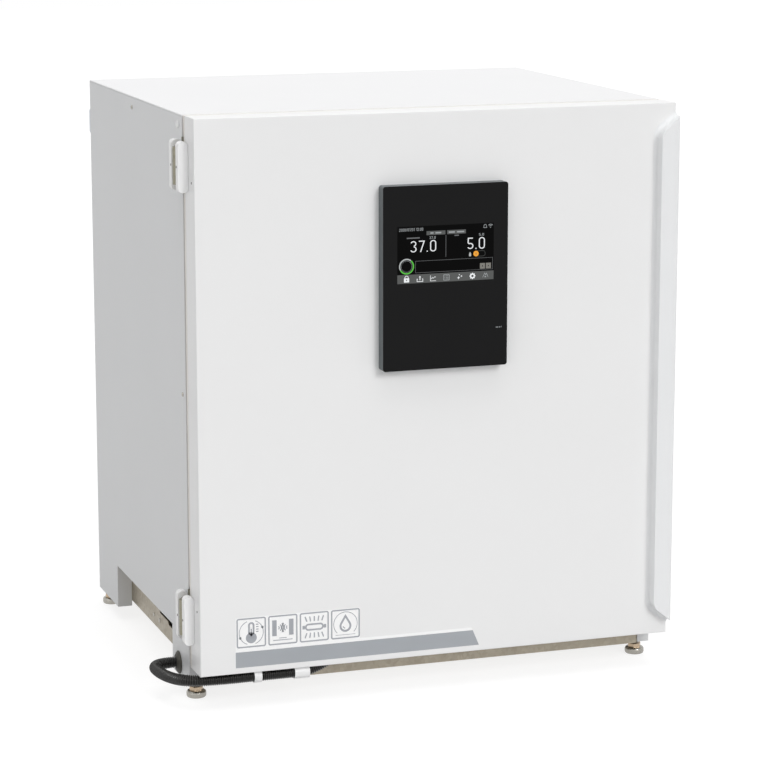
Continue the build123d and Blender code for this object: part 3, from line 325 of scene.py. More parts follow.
def dressNode(node, finish):  # a CAD node whose shape is right gets a better finish
    shown = frame["nodes"][node]
    shown.data.materials.clear()
    shown.data.materials.append(finishes[finish])


def joinedMesh(name, meshes):
    work = bmesh.new()
    for mesh in meshes:
        work.from_mesh(mesh)
    whole = bpy.data.meshes.new(name)
    work.to_mesh(whole)
    work.free()
    return whole


def ontoLeftSide(place):  # stands a turned shape on the left side with its axis pointing out
    return Matrix.Translation(spot(*place)) @ Matrix.Rotation(math.radians(-90), 4, "Y")


# Geometry Nodes trees
def newTree(name, inputs):
    tree = bpy.data.node_groups.new(name, "GeometryNodeTree")
    tree.interface.new_socket("Geometry", in_out="INPUT", socket_type="NodeSocketGeometry")
    for label, kind in inputs:
        tree.interface.new_socket(label, in_out="INPUT", socket_type="NodeSocket" + kind)
    tree.interface.new_socket("Geometry", in_out="OUTPUT", socket_type="NodeSocketGeometry")
    return tree, tree.nodes.new("NodeGroupInput"), tree.nodes.new("NodeGroupOutput")


def grown(holder, tree, sizes):
    # runs a tree on an object, keeps the mesh and drops the object
    modifier = holder.modifiers.new(tree.name, "NODES")
    modifier.node_group = tree
    for socket in tree.interface.items_tree:
        if socket.in_out == "INPUT" and socket.name in sizes:
            modifier[socket.identifier] = sizes[socket.name]
    mesh = shownMesh(holder)
    bpy.data.objects.remove(holder)
    return mesh


def painted(tree, given, result, shape):
    # the end of each tree: real geometry in the finish that was handed in
    real = tree.nodes.new("GeometryNodeRealizeInstances")
    paint = tree.nodes.new("GeometryNodeSetMaterial")
    tree.links.new(shape, real.inputs["Geometry"])
    tree.links.new(real.outputs["Geometry"], paint.inputs["Geometry"])
    tree.links.new(given.outputs["Finish"], paint.inputs["Material"])
    tree.links.new(paint.outputs["Geometry"], result.inputs["Geometry"])


def ribbedTubeTree():
    # a tube along a curve whose radius swells and falls at an even pitch: conduit or screw thread
    tree, given, result = newTree(
        "ribbed tube",
        (("Radius", "Float"), ("Depth", "Float"), ("Pitch", "Float"), ("Sharpness", "Float"),
         ("Steps", "Int"), ("Sides", "Int"), ("Finish", "Material")),
    )
    add = tree.nodes.new
    link = tree.links.new

    def worked(kind, *values):
        node = add("ShaderNodeMath")
        node.operation = kind
        for socket, value in zip(node.inputs, values):
            if isinstance(value, (int, float)):
                socket.default_value = value
            else:
                link(value, socket)
        return node.outputs[0]

    resample = add("GeometryNodeResampleCurve")
    resample.mode = "LENGTH"
    link(given.outputs["Geometry"], resample.inputs["Curve"])
    link(worked("DIVIDE", given.outputs["Pitch"], given.outputs["Steps"]), resample.inputs["Length"])
    along = add("GeometryNodeSplineParameter")
    turns = worked("DIVIDE", along.outputs["Length"], given.outputs["Pitch"])
    wave = worked("COSINE", worked("MULTIPLY", turns, 2 * math.pi))
    groove = worked("POWER", worked("MULTIPLY_ADD", wave, 0.5, 0.5), given.outputs["Sharpness"])
    fall = worked("MULTIPLY", groove, given.outputs["Depth"])
    ring = add("GeometryNodeCurvePrimitiveCircle")
    ring.inputs["Radius"].default_value = 1.0
    link(given.outputs["Sides"], ring.inputs["Resolution"])
    skin = add("GeometryNodeCurveToMesh")
    skin.inputs["Fill Caps"].default_value = True
    link(resample.outputs["Curve"], skin.inputs["Curve"])
    link(ring.outputs["Curve"], skin.inputs["Profile Curve"])
    link(worked("SUBTRACT", given.outputs["Radius"], fall), skin.inputs["Scale"])
    painted(tree, given, result, skin.outputs["Mesh"])
    return tree


def scatterTree():
    # one shape on every point of a mesh, facing the way the point's own attribute says
    tree, given, result = newTree(
        "heads on points", (("Shape", "Object"), ("Seed", "Int"), ("Finish", "Material"))
    )
    add = tree.nodes.new
    link = tree.links.new
    points = add("GeometryNodeMeshToPoints")
    link(given.outputs["Geometry"], points.inputs["Mesh"])
    facing = add("GeometryNodeInputNamedAttribute")
    facing.data_type = "FLOAT_VECTOR"
    facing.inputs["Name"].default_value = "facing"
    align = add("FunctionNodeAlignRotationToVector")
    align.axis = "Z"
    link(facing.outputs["Attribute"], align.inputs["Vector"])
    shape = add("GeometryNodeObjectInfo")
    link(given.outputs["Shape"], shape.inputs["Object"])
    place = add("GeometryNodeInstanceOnPoints")
    link(points.outputs["Points"], place.inputs["Points"])
    link(shape.outputs["Geometry"], place.inputs["Instance"])
    link(align.outputs["Rotation"], place.inputs["Rotation"])
    turn = add("FunctionNodeRandomValue")
    turn.data_type = "FLOAT"
    turn.inputs["Min"].default_value = 0.0
    turn.inputs["Max"].default_value = math.pi
    link(given.outputs["Seed"], turn.inputs["Seed"])
    spin = add("ShaderNodeCombineXYZ")
    link(turn.outputs[1], spin.inputs["Z"])
    driven = add("GeometryNodeRotateInstances")
    link(place.outputs["Instances"], driven.inputs["Instances"])
    link(spin.outputs["Vector"], driven.inputs["Rotation"])
    painted(tree, given, result, driven.outputs["Instances"])
    return tree


ribbedTube = ribbedTubeTree()
headsOnPoints = scatterTree()


def routeCurve(name, points):  # one smooth open spline with these control points
    curve = bpy.data.curves.new(name, "CURVE")
    curve.dimensions = "3D"
    curve.resolution_u = 12
    spline = curve.splines.new("NURBS")
    spline.points.add(len(points) - 1)
    for point, place in zip(spline.points, points):
        point.co = (*spot(*place), 1.0)
    spline.order_u = 3
    spline.use_endpoint_u = True
    holder = bpy.data.objects.new(name, curve)
    bpy.context.scene.collection.objects.link(holder)
    return holder


def circleVerts(work, radius, height, count):
    angles = [2 * math.pi * k / count for k in range(count)]
    return [
        work.verts.new((radius * mm * math.cos(angle), radius * mm * math.sin(angle), height * mm))
        for angle in angles
    ]


def turned(name, profile, steps):
    # a lathe shape round Z, its profile given as (radius, height) points
    work = bmesh.new()
    rows = [circleVerts(work, radius, height, steps if radius else 1) for radius, height in profile]
    for low, high in zip(rows, rows[1:]):
        for k in range(steps):
            after = (k + 1) % steps
            corners = [
                low[k % len(low)], low[after % len(low)], high[after % len(high)], high[k % len(high)],
            ]
            work.faces.new(list(dict.fromkeys(corners)))
    bmesh.ops.recalc_face_normals(work, faces=work.faces)
    mesh = bpy.data.meshes.new(name)
    work.to_mesh(mesh)
    work.free()
    return mesh


# Flat artwork on a plane that faces the front
def around(x, z, radius, angle):
    return x + radius * math.cos(angle), z + radius * math.sin(angle)


def disc(x, z, radius, count=28):
    return [around(x, z, radius, 2 * math.pi * k / count) for k in range(count)]


def bar(x0, x1, z0, z1):
    return [(x0, z0), (x1, z0), (x1, z1), (x0, z1)]


def softBar(x0, x1, z0, z1, radius, steps=5):
    outline = []
    corners = (
        (x1 - radius, z1 - radius, 0),
        (x0 + radius, z1 - radius, 90),
        (x0 + radius, z0 + radius, 180),
        (x1 - radius, z0 + radius, 270),
    )
    for x, z, start in corners:
        for k in range(steps + 1):
            outline.append(around(x, z, radius, math.radians(start + 90 * k / steps)))
    return outline


def softFrame(x0, x1, z0, z1, radius, width):
    return [
        softBar(x0, x1, z0, z1, radius),
        softBar(x0 + width, x1 - width, z0 + width, z1 - width, max(0.05, radius - width)),
    ]


def arcPoints(x, z, radius, start, end, steps=14):
    angles = [math.radians(start + (end - start) * k / steps) for k in range(steps + 1)]
    return [around(x, z, radius, angle) for angle in angles]


def ribbon(points, width):  # a line of even width through the points
    left = []
    right = []
    for k, (x, z) in enumerate(points):
        here = Vector((x, z))
        before = (here - Vector(points[k - 1])).normalized() if k else None
        after = (Vector(points[k + 1]) - here).normalized() if k + 1 < len(points) else None
        along = ((before or after) + (after or before)).normalized()
        side = Vector((-along.y, along.x))
        reach = width / 2 / max(0.4, side.dot(Vector((-(after or before).y, (after or before).x))))
        left.append(tuple(here + side * reach))
        right.append(tuple(here - side * reach))
    return left + right[::-1]


def moved(shapes, x, z, size=1.0, squeeze=1.0):  # from round 0, 0 to round x, z
    out = []
    for shape in shapes:
        loops = [shape] if isinstance(shape[0][0], (int, float)) else shape
        out.append([[(x + a * size * squeeze, z + b * size) for a, b in loop] for loop in loops])
    return out


def numerals(line):  # skeletons in a box 0.5 wide and 1 high, drawn with a line of this width
    return {
        "0": [softFrame(0, 0.5, 0, 1, 0.245, line)],
        "1": [ribbon([(0.08, 0.76), (0.3, 0.95), (0.3, 0)], line)],
        "2": [ribbon(arcPoints(0.25, 0.72, 0.2, 165, -35) + [(0.05, 0.05), (0.48, 0.05)], line)],
        "3": [
            ribbon(arcPoints(0.24, 0.74, 0.2, 160, -80), line),
            ribbon(arcPoints(0.24, 0.26, 0.22, 80, -160), line),
        ],
        "5": [
            ribbon(
                [(0.45, 0.95), (0.08, 0.95), (0.06, 0.56)] + arcPoints(0.24, 0.28, 0.22, 115, -150),
                line,
            ),
        ],
        "7": [ribbon([(0.02, 0.95), (0.46, 0.95), (0.16, 0)], line)],
        ".": [bar(0, line * 1.1, 0, line * 1.1)],
        ":": [bar(0, line, 0.15, 0.15 + line), bar(0, line, 0.6, 0.6 + line)],
        "/": [ribbon([(0, 0), (0.3, 1)], line * 0.9)],
        " ": [],
    }


numeralWidths = {".": 0.11, ":": 0.11, "/": 0.3, " ": 0.2, "1": 0.36}


def numberShapes(text, x0, x1, z0, z1, line=0.082):  # fills the box
    drawn = numerals(line)
    gap = 0.17
    widths = [numeralWidths.get(sign, 0.5) for sign in text]
    total = sum(widths) + gap * (len(text) - 1)
    height = z1 - z0
    squeeze = (x1 - x0) / (total * height)
    shapes = []
    at = 0.0
    for sign, width in zip(text, widths):
        shapes += moved(drawn[sign], x0 + at * height * squeeze, z0, height, squeeze)
        at += width + gap
    return shapes


def inkPiece(name, shapes, front, depth, finish, body, slotName):
    # each shape is an outline or an outline with its holes; front and depth are in millimetres
    work = bmesh.new()
    for shape in shapes:
        loops = [shape] if isinstance(shape[0][0], (int, float)) else shape
        rows = []
        for loop in loops:
            near = [work.verts.new(spot(x, front, z)) for x, z in loop]
            far = [work.verts.new(spot(x, front + depth, z)) for x, z in loop]
            rows.append((near, far))
            for k in range(len(loop)):
                after = (k + 1) % len(loop)
                work.faces.new((near[k], near[after], far[after], far[k]))
        nearAll = [vert for near, far in rows for vert in near]
        farAll = [vert for near, far in rows for vert in far]
        flat = [[Vector((x, z, 0)) for x, z in loop] for loop in loops]
        for a, b, c in tessellate_polygon(flat):
            work.faces.new((nearAll[a], nearAll[b], nearAll[c]))
            work.faces.new((farAll[c], farAll[b], farAll[a]))
    bmesh.ops.recalc_face_normals(work, faces=work.faces)
    mesh = bpy.data.meshes.new(name)
    work.to_mesh(mesh)
    work.free()
    return asPiece(name, mesh, finish, body, (), slotName)


print("tools ready")


# Sheet metal shell, doors, hinges and fittings: finish, rounded edge in millimetres
shellParts = {
    "side_panel_left": ("sideShadedPaint", 0.6),
    "side_panel_right": ("sideShadedPaint", 0.6),
    "top_panel": ("lidShadedPaint", 0),
    "back_panel": ("sideShadedPaint", 0.3),
    "door_skin": ("doorPaint", 0),
    "door_frame": ("edgeStrip", 0.4),
    "door_grip": ("gripPlastic", 0.5),
    "hinge_leaves_cabinet": ("steelLeaf", 0.3),
    "hinge_leaves_door": ("steelLeaf", 0.3),
    "hinge_pins": ("zinc", 0.3),
    "base_frame": ("galvanised", 0.4),
    "rear_spacers": ("bluishPlastic", 0),
    "hole_plug": ("whitePlastic", 0),
    "panel_housing": ("panelFrame", 0.4),
    "usb_cover": ("blackPlastic", 0.3),
    "conduit_clips": ("whitePlastic", 0.3),
    "access_tube": ("greyRubber", 0.4),
    "access_plug": ("greyRubber", 0),
    "gas_inlet": ("brass", 0.3),
    "mains_inlet": ("blackPlastic", 0.4),
    "power_rocker": ("blackPlastic", 0.4),
}
for node, (finish, edge) in shellParts.items():
    finePiece(node, finish, edge)

# What shows when the doors are open
insideParts = {
    "front_frame": ("stainless", 0.4),
    "inner_chamber": ("liner", 0),
    "door_liner": ("stainless", 0),
    "door_gasket": ("sealCream", 0.8),
    "inner_door_frame": ("whitePlastic", 0.4),
    "inner_door_gasket": ("greyRubber", 0.6),
    "inner_hinge_brackets": ("stainless", 0.3),
    "latch_knob": ("blackPlastic", 0.5),
    "fan_impeller": ("whitePlastic", 0),
    "fan_bush": ("greyRubber", 0.3),
    "duct_panel": ("stainless", 0),
    "chamber_sensors": ("stainless", 0),
    "shelf_racks": ("stainless", 0),
    "shelf_1": ("stainless", 0),
    "shelf_2": ("stainless", 0),
    "shelf_3": ("stainless", 0),
    "shelf_4": ("stainless", 0),
    "water_pan": ("stainless", 0),
}
for node, (finish, edge) in insideParts.items():
    finePiece(node, finish, edge)
dressedNodes = {
    "insulation": "foam",
    "door_insulation": "foam",
    "rear_bulkhead": "galvanised",
    "display_module": "blackPlastic",
    "inner_glass": "glass",
    "uv_lamp": "lampGlass",
    "fan_motor": "blackPlastic",
    "gas_valve": "brass",
    "gas_hose": "greyRubber",
    "circuit_board": "board",
}
for node, finish in dressedNodes.items():
    dressNode(node, finish)
print("cabinet and doors dressed")


# Conduit from the cabinet to the door
conduit = {
    "points": (
        (-373, 62, 45), (-430, 70, 45), (-428.5, 2, 45.6), (-404, -44, 46), (-350, -52, 46.4),
        (-300, -50, 46.4), (-250, -50, 46.4), (-200, -50, 46.4), (-168, -50, 66),
    ),
    "radius": 9.0,
    "groove": 1.8,
    "pitch": 3.3,
    "sharpness": 1.3,
    "sides": 24,
    "steps": 8,
}
conduitMesh = grown(
    routeCurve("conduit_route", conduit["points"]),
    ribbedTube,
    {
        "Radius": conduit["radius"] * mm,
        "Depth": conduit["groove"] * mm,
        "Pitch": conduit["pitch"] * mm,
        "Sharpness": conduit["sharpness"],
        "Steps": conduit["steps"],
        "Sides": conduit["sides"],
        "Finish": finishes["conduitBlack"],
    },
)
conduitMesh.shade_smooth()
conduitPiece = asPiece(
    "conduit_ribbed", conduitMesh, None, None, ("conduit_loop", "conduit_door_run")
)
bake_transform(conduitPiece)

# Rubber grommet where the conduit leaves the cabinet, with grooves round its cone
grommet = {
    "centre": (-385, 62, 45),
    "sides": 64,
    "edge": 0.25,
    "profile": (
        (9.2, -5.5), (9.2, 6.0), (10.2, 6.0), (11.6, 5.6), (12.4, 5.4), (12.9, 4.6), (13.8, 4.4),
        (14.4, 4.3), (14.9, 3.5), (15.8, 3.2), (16.4, 3.0), (16.8, 2.3), (17.6, 1.8), (18.0, 1.2),
        (18.0, 0.1), (14.7, 0.0), (14.7, -1.8), (16.7, -1.8), (15.7, -5.5), (9.2, -5.5),
    ),
}
grommetMesh = turned("grommet", grommet["profile"], grommet["sides"])
grommetMesh.transform(ontoLeftSide(grommet["centre"]))
grommetPiece = asPiece("cable_grommet_grooved", grommetMesh, "blackRubber", None)
takePlace(grommetPiece, "cable_grommet", grommet["edge"])
print("conduit laid")


# Levelling feet: turned disc, six-sided nut and threaded stud
foot = {
    "disc": (
        (0, 0), (12.4, 0), (13.9, 0.5), (15.0, 1.6), (15.5, 3.2), (15.5, 7.6), (14.9, 9.4),
        (13.6, 10.6), (12.0, 11.0), (9.6, 11.0), (8.6, 10.6), (0, 10.6),
    ),
    "discSides": 56,
    "hexRadius": 10.97,
    "hexFrom": 10.7,
    "hexTo": 17.0,
    "hexBevel": 1.0,
    "studFrom": 16.9,
    "studTo": 60.0,
    "studRadius": 6.0,
    "studSides": 20,
    "threadDepth": 0.7,
    "threadPitch": 1.75,
    "threadSteps": 4,
}


def hexNut(name):
    work = bmesh.new()
    low = circleVerts(work, foot["hexRadius"], foot["hexFrom"], 6)
    high = circleVerts(work, foot["hexRadius"], foot["hexTo"], 6)
    for k in range(6):
        after = (k + 1) % 6
        work.faces.new((low[k], low[after], high[after], high[k]))
    work.faces.new(low[::-1])
    work.faces.new(high)
    bmesh.ops.bevel(
        work,
        geom=low + high,
        offset=foot["hexBevel"] * mm,
        segments=1,
        affect="VERTICES",
        profile=0.5,
    )
    mesh = bpy.data.meshes.new(name)
    work.to_mesh(mesh)
    work.free()
    return mesh


for node in ("foot_front_left", "foot_front_right", "foot_rear_left", "foot_rear_right"):
    low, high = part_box(node)
    middle = Vector(((low.x + high.x) / 2, (low.y + high.y) / 2, 0))
    stud = bpy.data.curves.new("stud", "CURVE")
    stud.dimensions = "3D"
    line = stud.splines.new("POLY")
    line.points.add(1)
    line.points[0].co = (0, 0, foot["studFrom"] * mm, 1)
    line.points[1].co = (0, 0, foot["studTo"] * mm, 1)
    holder = bpy.data.objects.new("stud", stud)
    bpy.context.scene.collection.objects.link(holder)
    thread = grown(
        holder,
        ribbedTube,
        {
            "Radius": foot["studRadius"] * mm,
            "Depth": foot["threadDepth"] * mm,
            "Pitch": foot["threadPitch"] * mm,
            "Sharpness": 1.0,
            "Steps": foot["threadSteps"],
            "Sides": foot["studSides"],
            "Finish": finishes["zinc"],
        },
    )
    discMesh = turned("disc", foot["disc"], foot["discSides"])
    turnedMesh = joinedMesh(node + "_turned", [discMesh, thread])
    turnedMesh.transform(Matrix.Translation(middle))
    takePlace(asPiece(node + "_turned", turnedMesh, "zinc", None), node, 0)
    nutMesh = hexNut("nut")
    nutMesh.transform(Matrix.Translation(middle))
    nut = asPiece(node + "_nut", nutMesh, "nutZinc", None)
    brokenEdges(nut, 0)
    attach(nut, bodyOf[node])
print("feet on")


# Cross-recess screws
screw = {
    "radius": 3.6,
    "height": 1.9,
    "sides": 20,
    "cross": 1.7,
    "crossWidth": 0.55,
    "crossDepth": 1.1,
    "crossTaper": 0.55,
    "crossTop": 3.0,
    "seed": 4,
    "sideX": 385,
    "sidePlaces": ((311, 887), (15.7, 479.5)),
    "baseX": 360,
    "basePlaces": ((283, 50), (321, 50)),
    "backX": 375,
    "backY": 611,
    "backLow": 132,
    "backHigh": 887,
    "backRows": 4,
}
headMesh = turned(
    "head",
    (
        (0, 0), (screw["radius"], 0), (screw["radius"], 0.35), (3.45, 0.8), (3.0, 1.3), (2.2, 1.7),
        (1.2, 1.87), (0, screw["height"]),
    ),
    screw["sides"],
)
head = bpy.data.objects.new("screw_head", headMesh)
bpy.context.scene.collection.objects.link(head)
cutter = bmesh.new()
arm = screw["cross"] * mm
slim = screw["crossWidth"] / 2 * mm
plus = [
    (arm, -slim), (arm, slim), (slim, slim), (slim, arm), (-slim, arm), (-slim, slim),
    (-arm, slim), (-arm, -slim), (-slim, -slim), (-slim, -arm), (slim, -arm), (slim, -slim),
]
floorZ = (screw["height"] - screw["crossDepth"]) * mm
taper = screw["crossTaper"]
lower = [cutter.verts.new((x * taper, y * taper, floorZ)) for x, y in plus]
upper = [cutter.verts.new((x, y, screw["crossTop"] * mm)) for x, y in plus]
cutter.faces.new(lower[::-1])
cutter.faces.new(upper)
for k in range(len(plus)):
    after = (k + 1) % len(plus)
    cutter.faces.new((lower[k], lower[after], upper[after], upper[k]))
crossMesh = bpy.data.meshes.new("cross")
cutter.to_mesh(crossMesh)
cutter.free()
cross = bpy.data.objects.new("cross", crossMesh)
bpy.context.scene.collection.objects.link(cross)
recess = head.modifiers.new("recess", "BOOLEAN")
recess.object = cross
recess.solver = "EXACT"
headShape = shownMesh(head)
head.modifiers.clear()
head.data = headShape
bpy.data.objects.remove(cross)

screwPlaces = []
for side in (-1, 1):
    for y, z in screw["sidePlaces"]:
        screwPlaces.append(((side * screw["sideX"], y, z), (side, 0, 0)))
    for y, z in screw["basePlaces"]:
        screwPlaces.append(((side * screw["baseX"], y, z), (side, 0, 0)))
    for row in range(screw["backRows"]):
        rise = (screw["backHigh"] - screw["backLow"]) * row / (screw["backRows"] - 1)
        place = (side * screw["backX"], screw["backY"], screw["backLow"] + rise)
        screwPlaces.append((place, (0, 1, 0)))
dots = bpy.data.meshes.new("screw_places")
dots.from_pydata([tuple(spot(*place)) for place, way in screwPlaces], [], [])
facing = dots.attributes.new("facing", "FLOAT_VECTOR", "POINT")
for k, (place, way) in enumerate(screwPlaces):
    facing.data[k].vector = way
dotsHolder = bpy.data.objects.new("screw_places", dots)
bpy.context.scene.collection.objects.link(dotsHolder)
screwMesh = grown(
    dotsHolder, headsOnPoints, {"Shape": head, "Seed": screw["seed"], "Finish": finishes["zinc"]}
)
bpy.data.objects.remove(head)
screwMesh.set_sharp_from_angle(angle=math.radians(sharpAngle))
asPiece("cabinet_screws_crossed", screwMesh, None, "cabinet", ("cabinet_screws",))
print("screws in")


# Moulded covers over the two hinges, soft all round, one half on the cabinet and one on the door
cover = {
    "outer": -400.5,
    "inner": -385.3,
    "height": 76,
    "middles": (830.5, 137),
    "corner": 6.75,
    "cornerSteps": 8,
    "edge": 2.2,
    "edgeSteps": 4,
    "reach": {"hinge_covers_cabinet": (4.5, 19.0), "hinge_covers_door": (-34.0, -19.5)},
}
for node, (near, far) in cover["reach"].items():
    halves = [
        softBar(
            cover["outer"], cover["inner"], z - cover["height"] / 2, z + cover["height"] / 2,
            cover["corner"], cover["cornerSteps"],
        )
        for z in cover["middles"]
    ]
    piece = inkPiece(node + "_moulded", halves, near, far - near, "whitePlastic", None, None)
    takePlace(piece, node, cover["edge"], cover["edgeSteps"])

# Soft lip of the door seal, which nearly fills the seam and leaves room for the hinge leaves
lip = {
    "side": 383.3,
    "top": 903.3,
    "bottom": 58.7,
    "width": 9.0,
    "near": -9.4,
    "far": -0.8,
    "hingeRoom": 44.5,
    "edge": 0.8,
}
lipBars = [
    bar(-lip["side"], lip["side"], lip["top"] - lip["width"], lip["top"]),
    bar(-lip["side"], lip["side"], lip["bottom"], lip["bottom"] + lip["width"]),
    bar(
        lip["side"] - lip["width"], lip["side"],
        lip["bottom"] + lip["width"], lip["top"] - lip["width"],
    ),
]
levels = [lip["top"] - lip["width"], lip["bottom"] + lip["width"]]
for z in cover["middles"]:
    levels += [z + lip["hingeRoom"], z - lip["hingeRoom"]]
levels.sort()
for low, high in zip(levels[::2], levels[1::2]):
    lipBars.append(bar(-lip["side"], -lip["side"] + lip["width"], low, high))
lipPiece = inkPiece(
    "door_seal_lip", lipBars, lip["near"], lip["far"] - lip["near"], "sealCream", None, None
)
brokenEdges(lipPiece, lip["edge"])
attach(lipPiece, "outer_door")

# Small dark dots on the hinge covers and the door's edge: painted shade of the screw holes there,
# drawn as dark discs
dot = {
    "profile": ((0, -0.6), (1.9, -0.6), (1.9, 0.1), (1.5, 0.35), (0.9, 0.2), (0, 0.2)),
    "sides": 20,
    "rows": (
        ("cover_dots_cabinet", "hinge_covers_cabinet", ((-400.5, 8.2, 830.5), (-400.5, 8.2, 137))),
        ("cover_dots_door", "hinge_covers_door", ((-400.5, -23.4, 830.5), (-400.5, -23.4, 137))),
        ("door_side_dots", "door_skin", ((-385, -51, 809), (-385, -51, 156))),
    ),
}
for name, node, places in dot["rows"]:
    meshes = []
    for place in places:
        mesh = turned(name, dot["profile"], dot["sides"])
        mesh.transform(ontoLeftSide(place))
        meshes.append(mesh)
    asPiece(name, joinedMesh(name, meshes), "holeShadeDot", bodyOf[node], (), slotOf(node))


# Control panel: black glass in its frame
panel = {
    "half": 100.0,
    "bottom": 515.0,
    "top": 796.5,
    "corner": 4.0,
    "back": -86.5,
    "front": -87.8,
    "edge": 0.7,
    "edgeSteps": 3,
}
glassPiece = inkPiece(
    "panel_glass_black",
    [softBar(-panel["half"], panel["half"], panel["bottom"], panel["top"], panel["corner"])],
    panel["front"], panel["back"] - panel["front"], "panelGlass", None, None,
)
takePlace(glassPiece, "panel_glass", panel["edge"], panel["edgeSteps"])

# What the display shows. A point is given by its share of the picture's width and height.
screen = {
    "left": -77.5,
    "right": 77.0,
    "bottom": 648.5,
    "top": 735.0,
    "level": 0.08,  # thickness of each layer of the picture
    "iconRow": 0.925,
    "boxLine": 0.45,
    "ticks": 32,
    "slot": slotOf("display_module"),
}


def onScreen(u, v):
    return (
        screen["left"] + (screen["right"] - screen["left"]) * u,
        screen["top"] - (screen["top"] - screen["bottom"]) * v,
    )


def screenBox(u0, u1, v0, v1):
    x0, z1 = onScreen(u0, v0)
    x1, z0 = onScreen(u1, v1)
    return x0, x1, z0, z1


def show(name, shapes, finish, layer):
    front = panel["front"] - screen["level"] * layer
    inkPiece(name, shapes, front, screen["level"], finish, "outer_door", screen["slot"])


show("screen_ground", [bar(*screenBox(0, 1, 0, 1))], "screenBlack", 1)
show("screen_icon_bar", [bar(*screenBox(0, 1, 0.845, 1))], "shownBar", 2)
show(
    "screen_tags",
    [bar(*screenBox(0.30, 0.495, 0.095, 0.165)), bar(*screenBox(0.513, 0.708, 0.095, 0.165))],
    "shownBar", 2,
)
show(
    "screen_figures",
    numberShapes("37.0", *screenBox(0.135, 0.40, 0.255, 0.455))
    + numberShapes("5.0", *screenBox(0.724, 0.907, 0.245, 0.45)),
    "shownWhite", 2,
)
show(
    "screen_small_figures",
    numberShapes("2000/01/01 12:00", *screenBox(0.018, 0.265, 0.03, 0.082), line=0.13)
    + numberShapes("37.0", *screenBox(0.33, 0.395, 0.19, 0.235), line=0.13)
    + numberShapes("5.0", *screenBox(0.845, 0.897, 0.175, 0.22), line=0.13),
    "shownDim", 2,
)
tagBars = [(0.34, 0.372), (0.392, 0.452), (0.53, 0.592), (0.615, 0.69)]
show(
    "screen_tag_marks",
    [bar(*screenBox(u0, u1, 0.118, 0.143)) for u0, u1 in tagBars],
    "shownDim", 3,
)
show(
    "screen_labels",
    [bar(*screenBox(0.096, 0.23, 0.195, 0.215)), bar(*screenBox(0.59, 0.635, 0.182, 0.202))],
    "shownGrey", 2,
)
x0, x1, z0, z1 = screenBox(0.186, 0.99, 0.61, 0.82)
line = screen["boxLine"]
show(
    "screen_lines",
    [
        bar(*screenBox(0.499, 0.503, 0.18, 0.56)),
        [bar(x0, x1, z0, z1), bar(x0 + line, x1 - line, z0 + line, z1 - line)],
    ],
    "shownGrey", 2,
)
show(
    "screen_switch",
    [softFrame(*screenBox(0.80, 0.912, 0.482, 0.582), 3.6, screen["boxLine"])],
    "shownBar", 2,
)
show(
    "screen_keys",
    [softBar(*screenBox(u, u + 0.053, 0.705, 0.805), 0.6) for u in (0.857, 0.919)],
    "shownKey", 2,
)
keyMarks = []
for u in (0.8835, 0.9455):
    keyMarks += moved([[(-1.1, -0.9), (1.1, -0.9), (0, 1.2)]], *onScreen(u, 0.755))
show("screen_key_marks", keyMarks, "screenBlack", 3)
x, z = onScreen(0.815, 0.532)
show("screen_dot", [disc(x, z, 4.3)], "shownOrange", 3)
show("screen_dot_mark", [bar(x - 0.5, x + 0.5, z - 1.6, z + 1.4)], "shownBar", 4)
x, z = onScreen(0.095, 0.70)
show("screen_ring_green", [ribbon(arcPoints(x, z, 10.9, -150, 50, 32), 2.1)], "shownGreen", 2)
show("screen_ring_white", [ribbon(arcPoints(x, z, 11.0, 52, 208, 26), 1.9)], "shownSoft", 2)
ticks = []
for k in range(screen["ticks"]):
    angle = 2 * math.pi * k / screen["ticks"]
    ticks.append(ribbon([around(x, z, 8.0, angle), around(x, z, 9.0, angle)], 0.55))
show("screen_ring_ticks", ticks, "shownDim", 2)


def gear(outer, inner, teeth=8):
    outline = []
    for k in range(teeth * 4):
        radius = outer if k % 4 in (0, 1) else outer * 0.8
        outline.append(around(0, 0, radius, 2 * math.pi * (k - 0.5) / (teeth * 4)))
    return [outline, disc(0, 0, inner, 20)]


def sparkle(x, z, size):
    return [around(x, z, size * (0.38 if k % 2 else 1), math.pi * k / 4) for k in range(8)]


def inIconRow(icons):  # each icon is drawn round 0, 0 and keyed by its share of the width
    shapes = []
    for share, icon in icons.items():
        shapes += moved(icon, *onScreen(share, screen["iconRow"]))
    return shapes


brightIcons = {
    0.095: [  # lock
        [softBar(-4.2, 4.2, -4.6, 1.8, 0.6), disc(0, -1.3, 1.0, 12)],
        ribbon([(-2.7, 1.8)] + arcPoints(0, 2.4, 2.7, 180, 0, 12) + [(2.7, 1.8)], 1.0),
    ],
    0.233: [  # tray with an arrow
        ribbon([(-3.2, -0.4), (-4.6, -0.4), (-4.6, -4.2), (4.6, -4.2), (4.6, -0.4), (3.2, -0.4)], 0.9),
        bar(-0.6, 0.6, -2.2, 2.4),
        [(-1.7, 2.2), (1.7, 2.2), (0, 4.6)],
    ],
    0.37: [  # graph
        ribbon([(-4.4, 4.2), (-4.4, -4.2), (4.6, -4.2)], 0.7),
        ribbon([(-3.4, -1.2), (-1.4, 0.9), (0.2, -0.3), (2.2, 1.8), (4.4, 1.4)], 0.7),
    ],
    0.646: [sparkle(-1.8, -1.6, 2.6), sparkle(2.8, 0.8, 1.7), sparkle(-0.6, 3.0, 1.3)],
    0.779: [gear(4.9, 1.9)],
}
show("screen_icons", inIconRow(brightIcons), "shownWhite", 3)
listLines = []
for rise in (1.9, -0.4, -2.7):
    listLines += [bar(-3.2, -2.2, rise, rise + 0.8), bar(-1.2, 3.2, rise, rise + 0.7)]
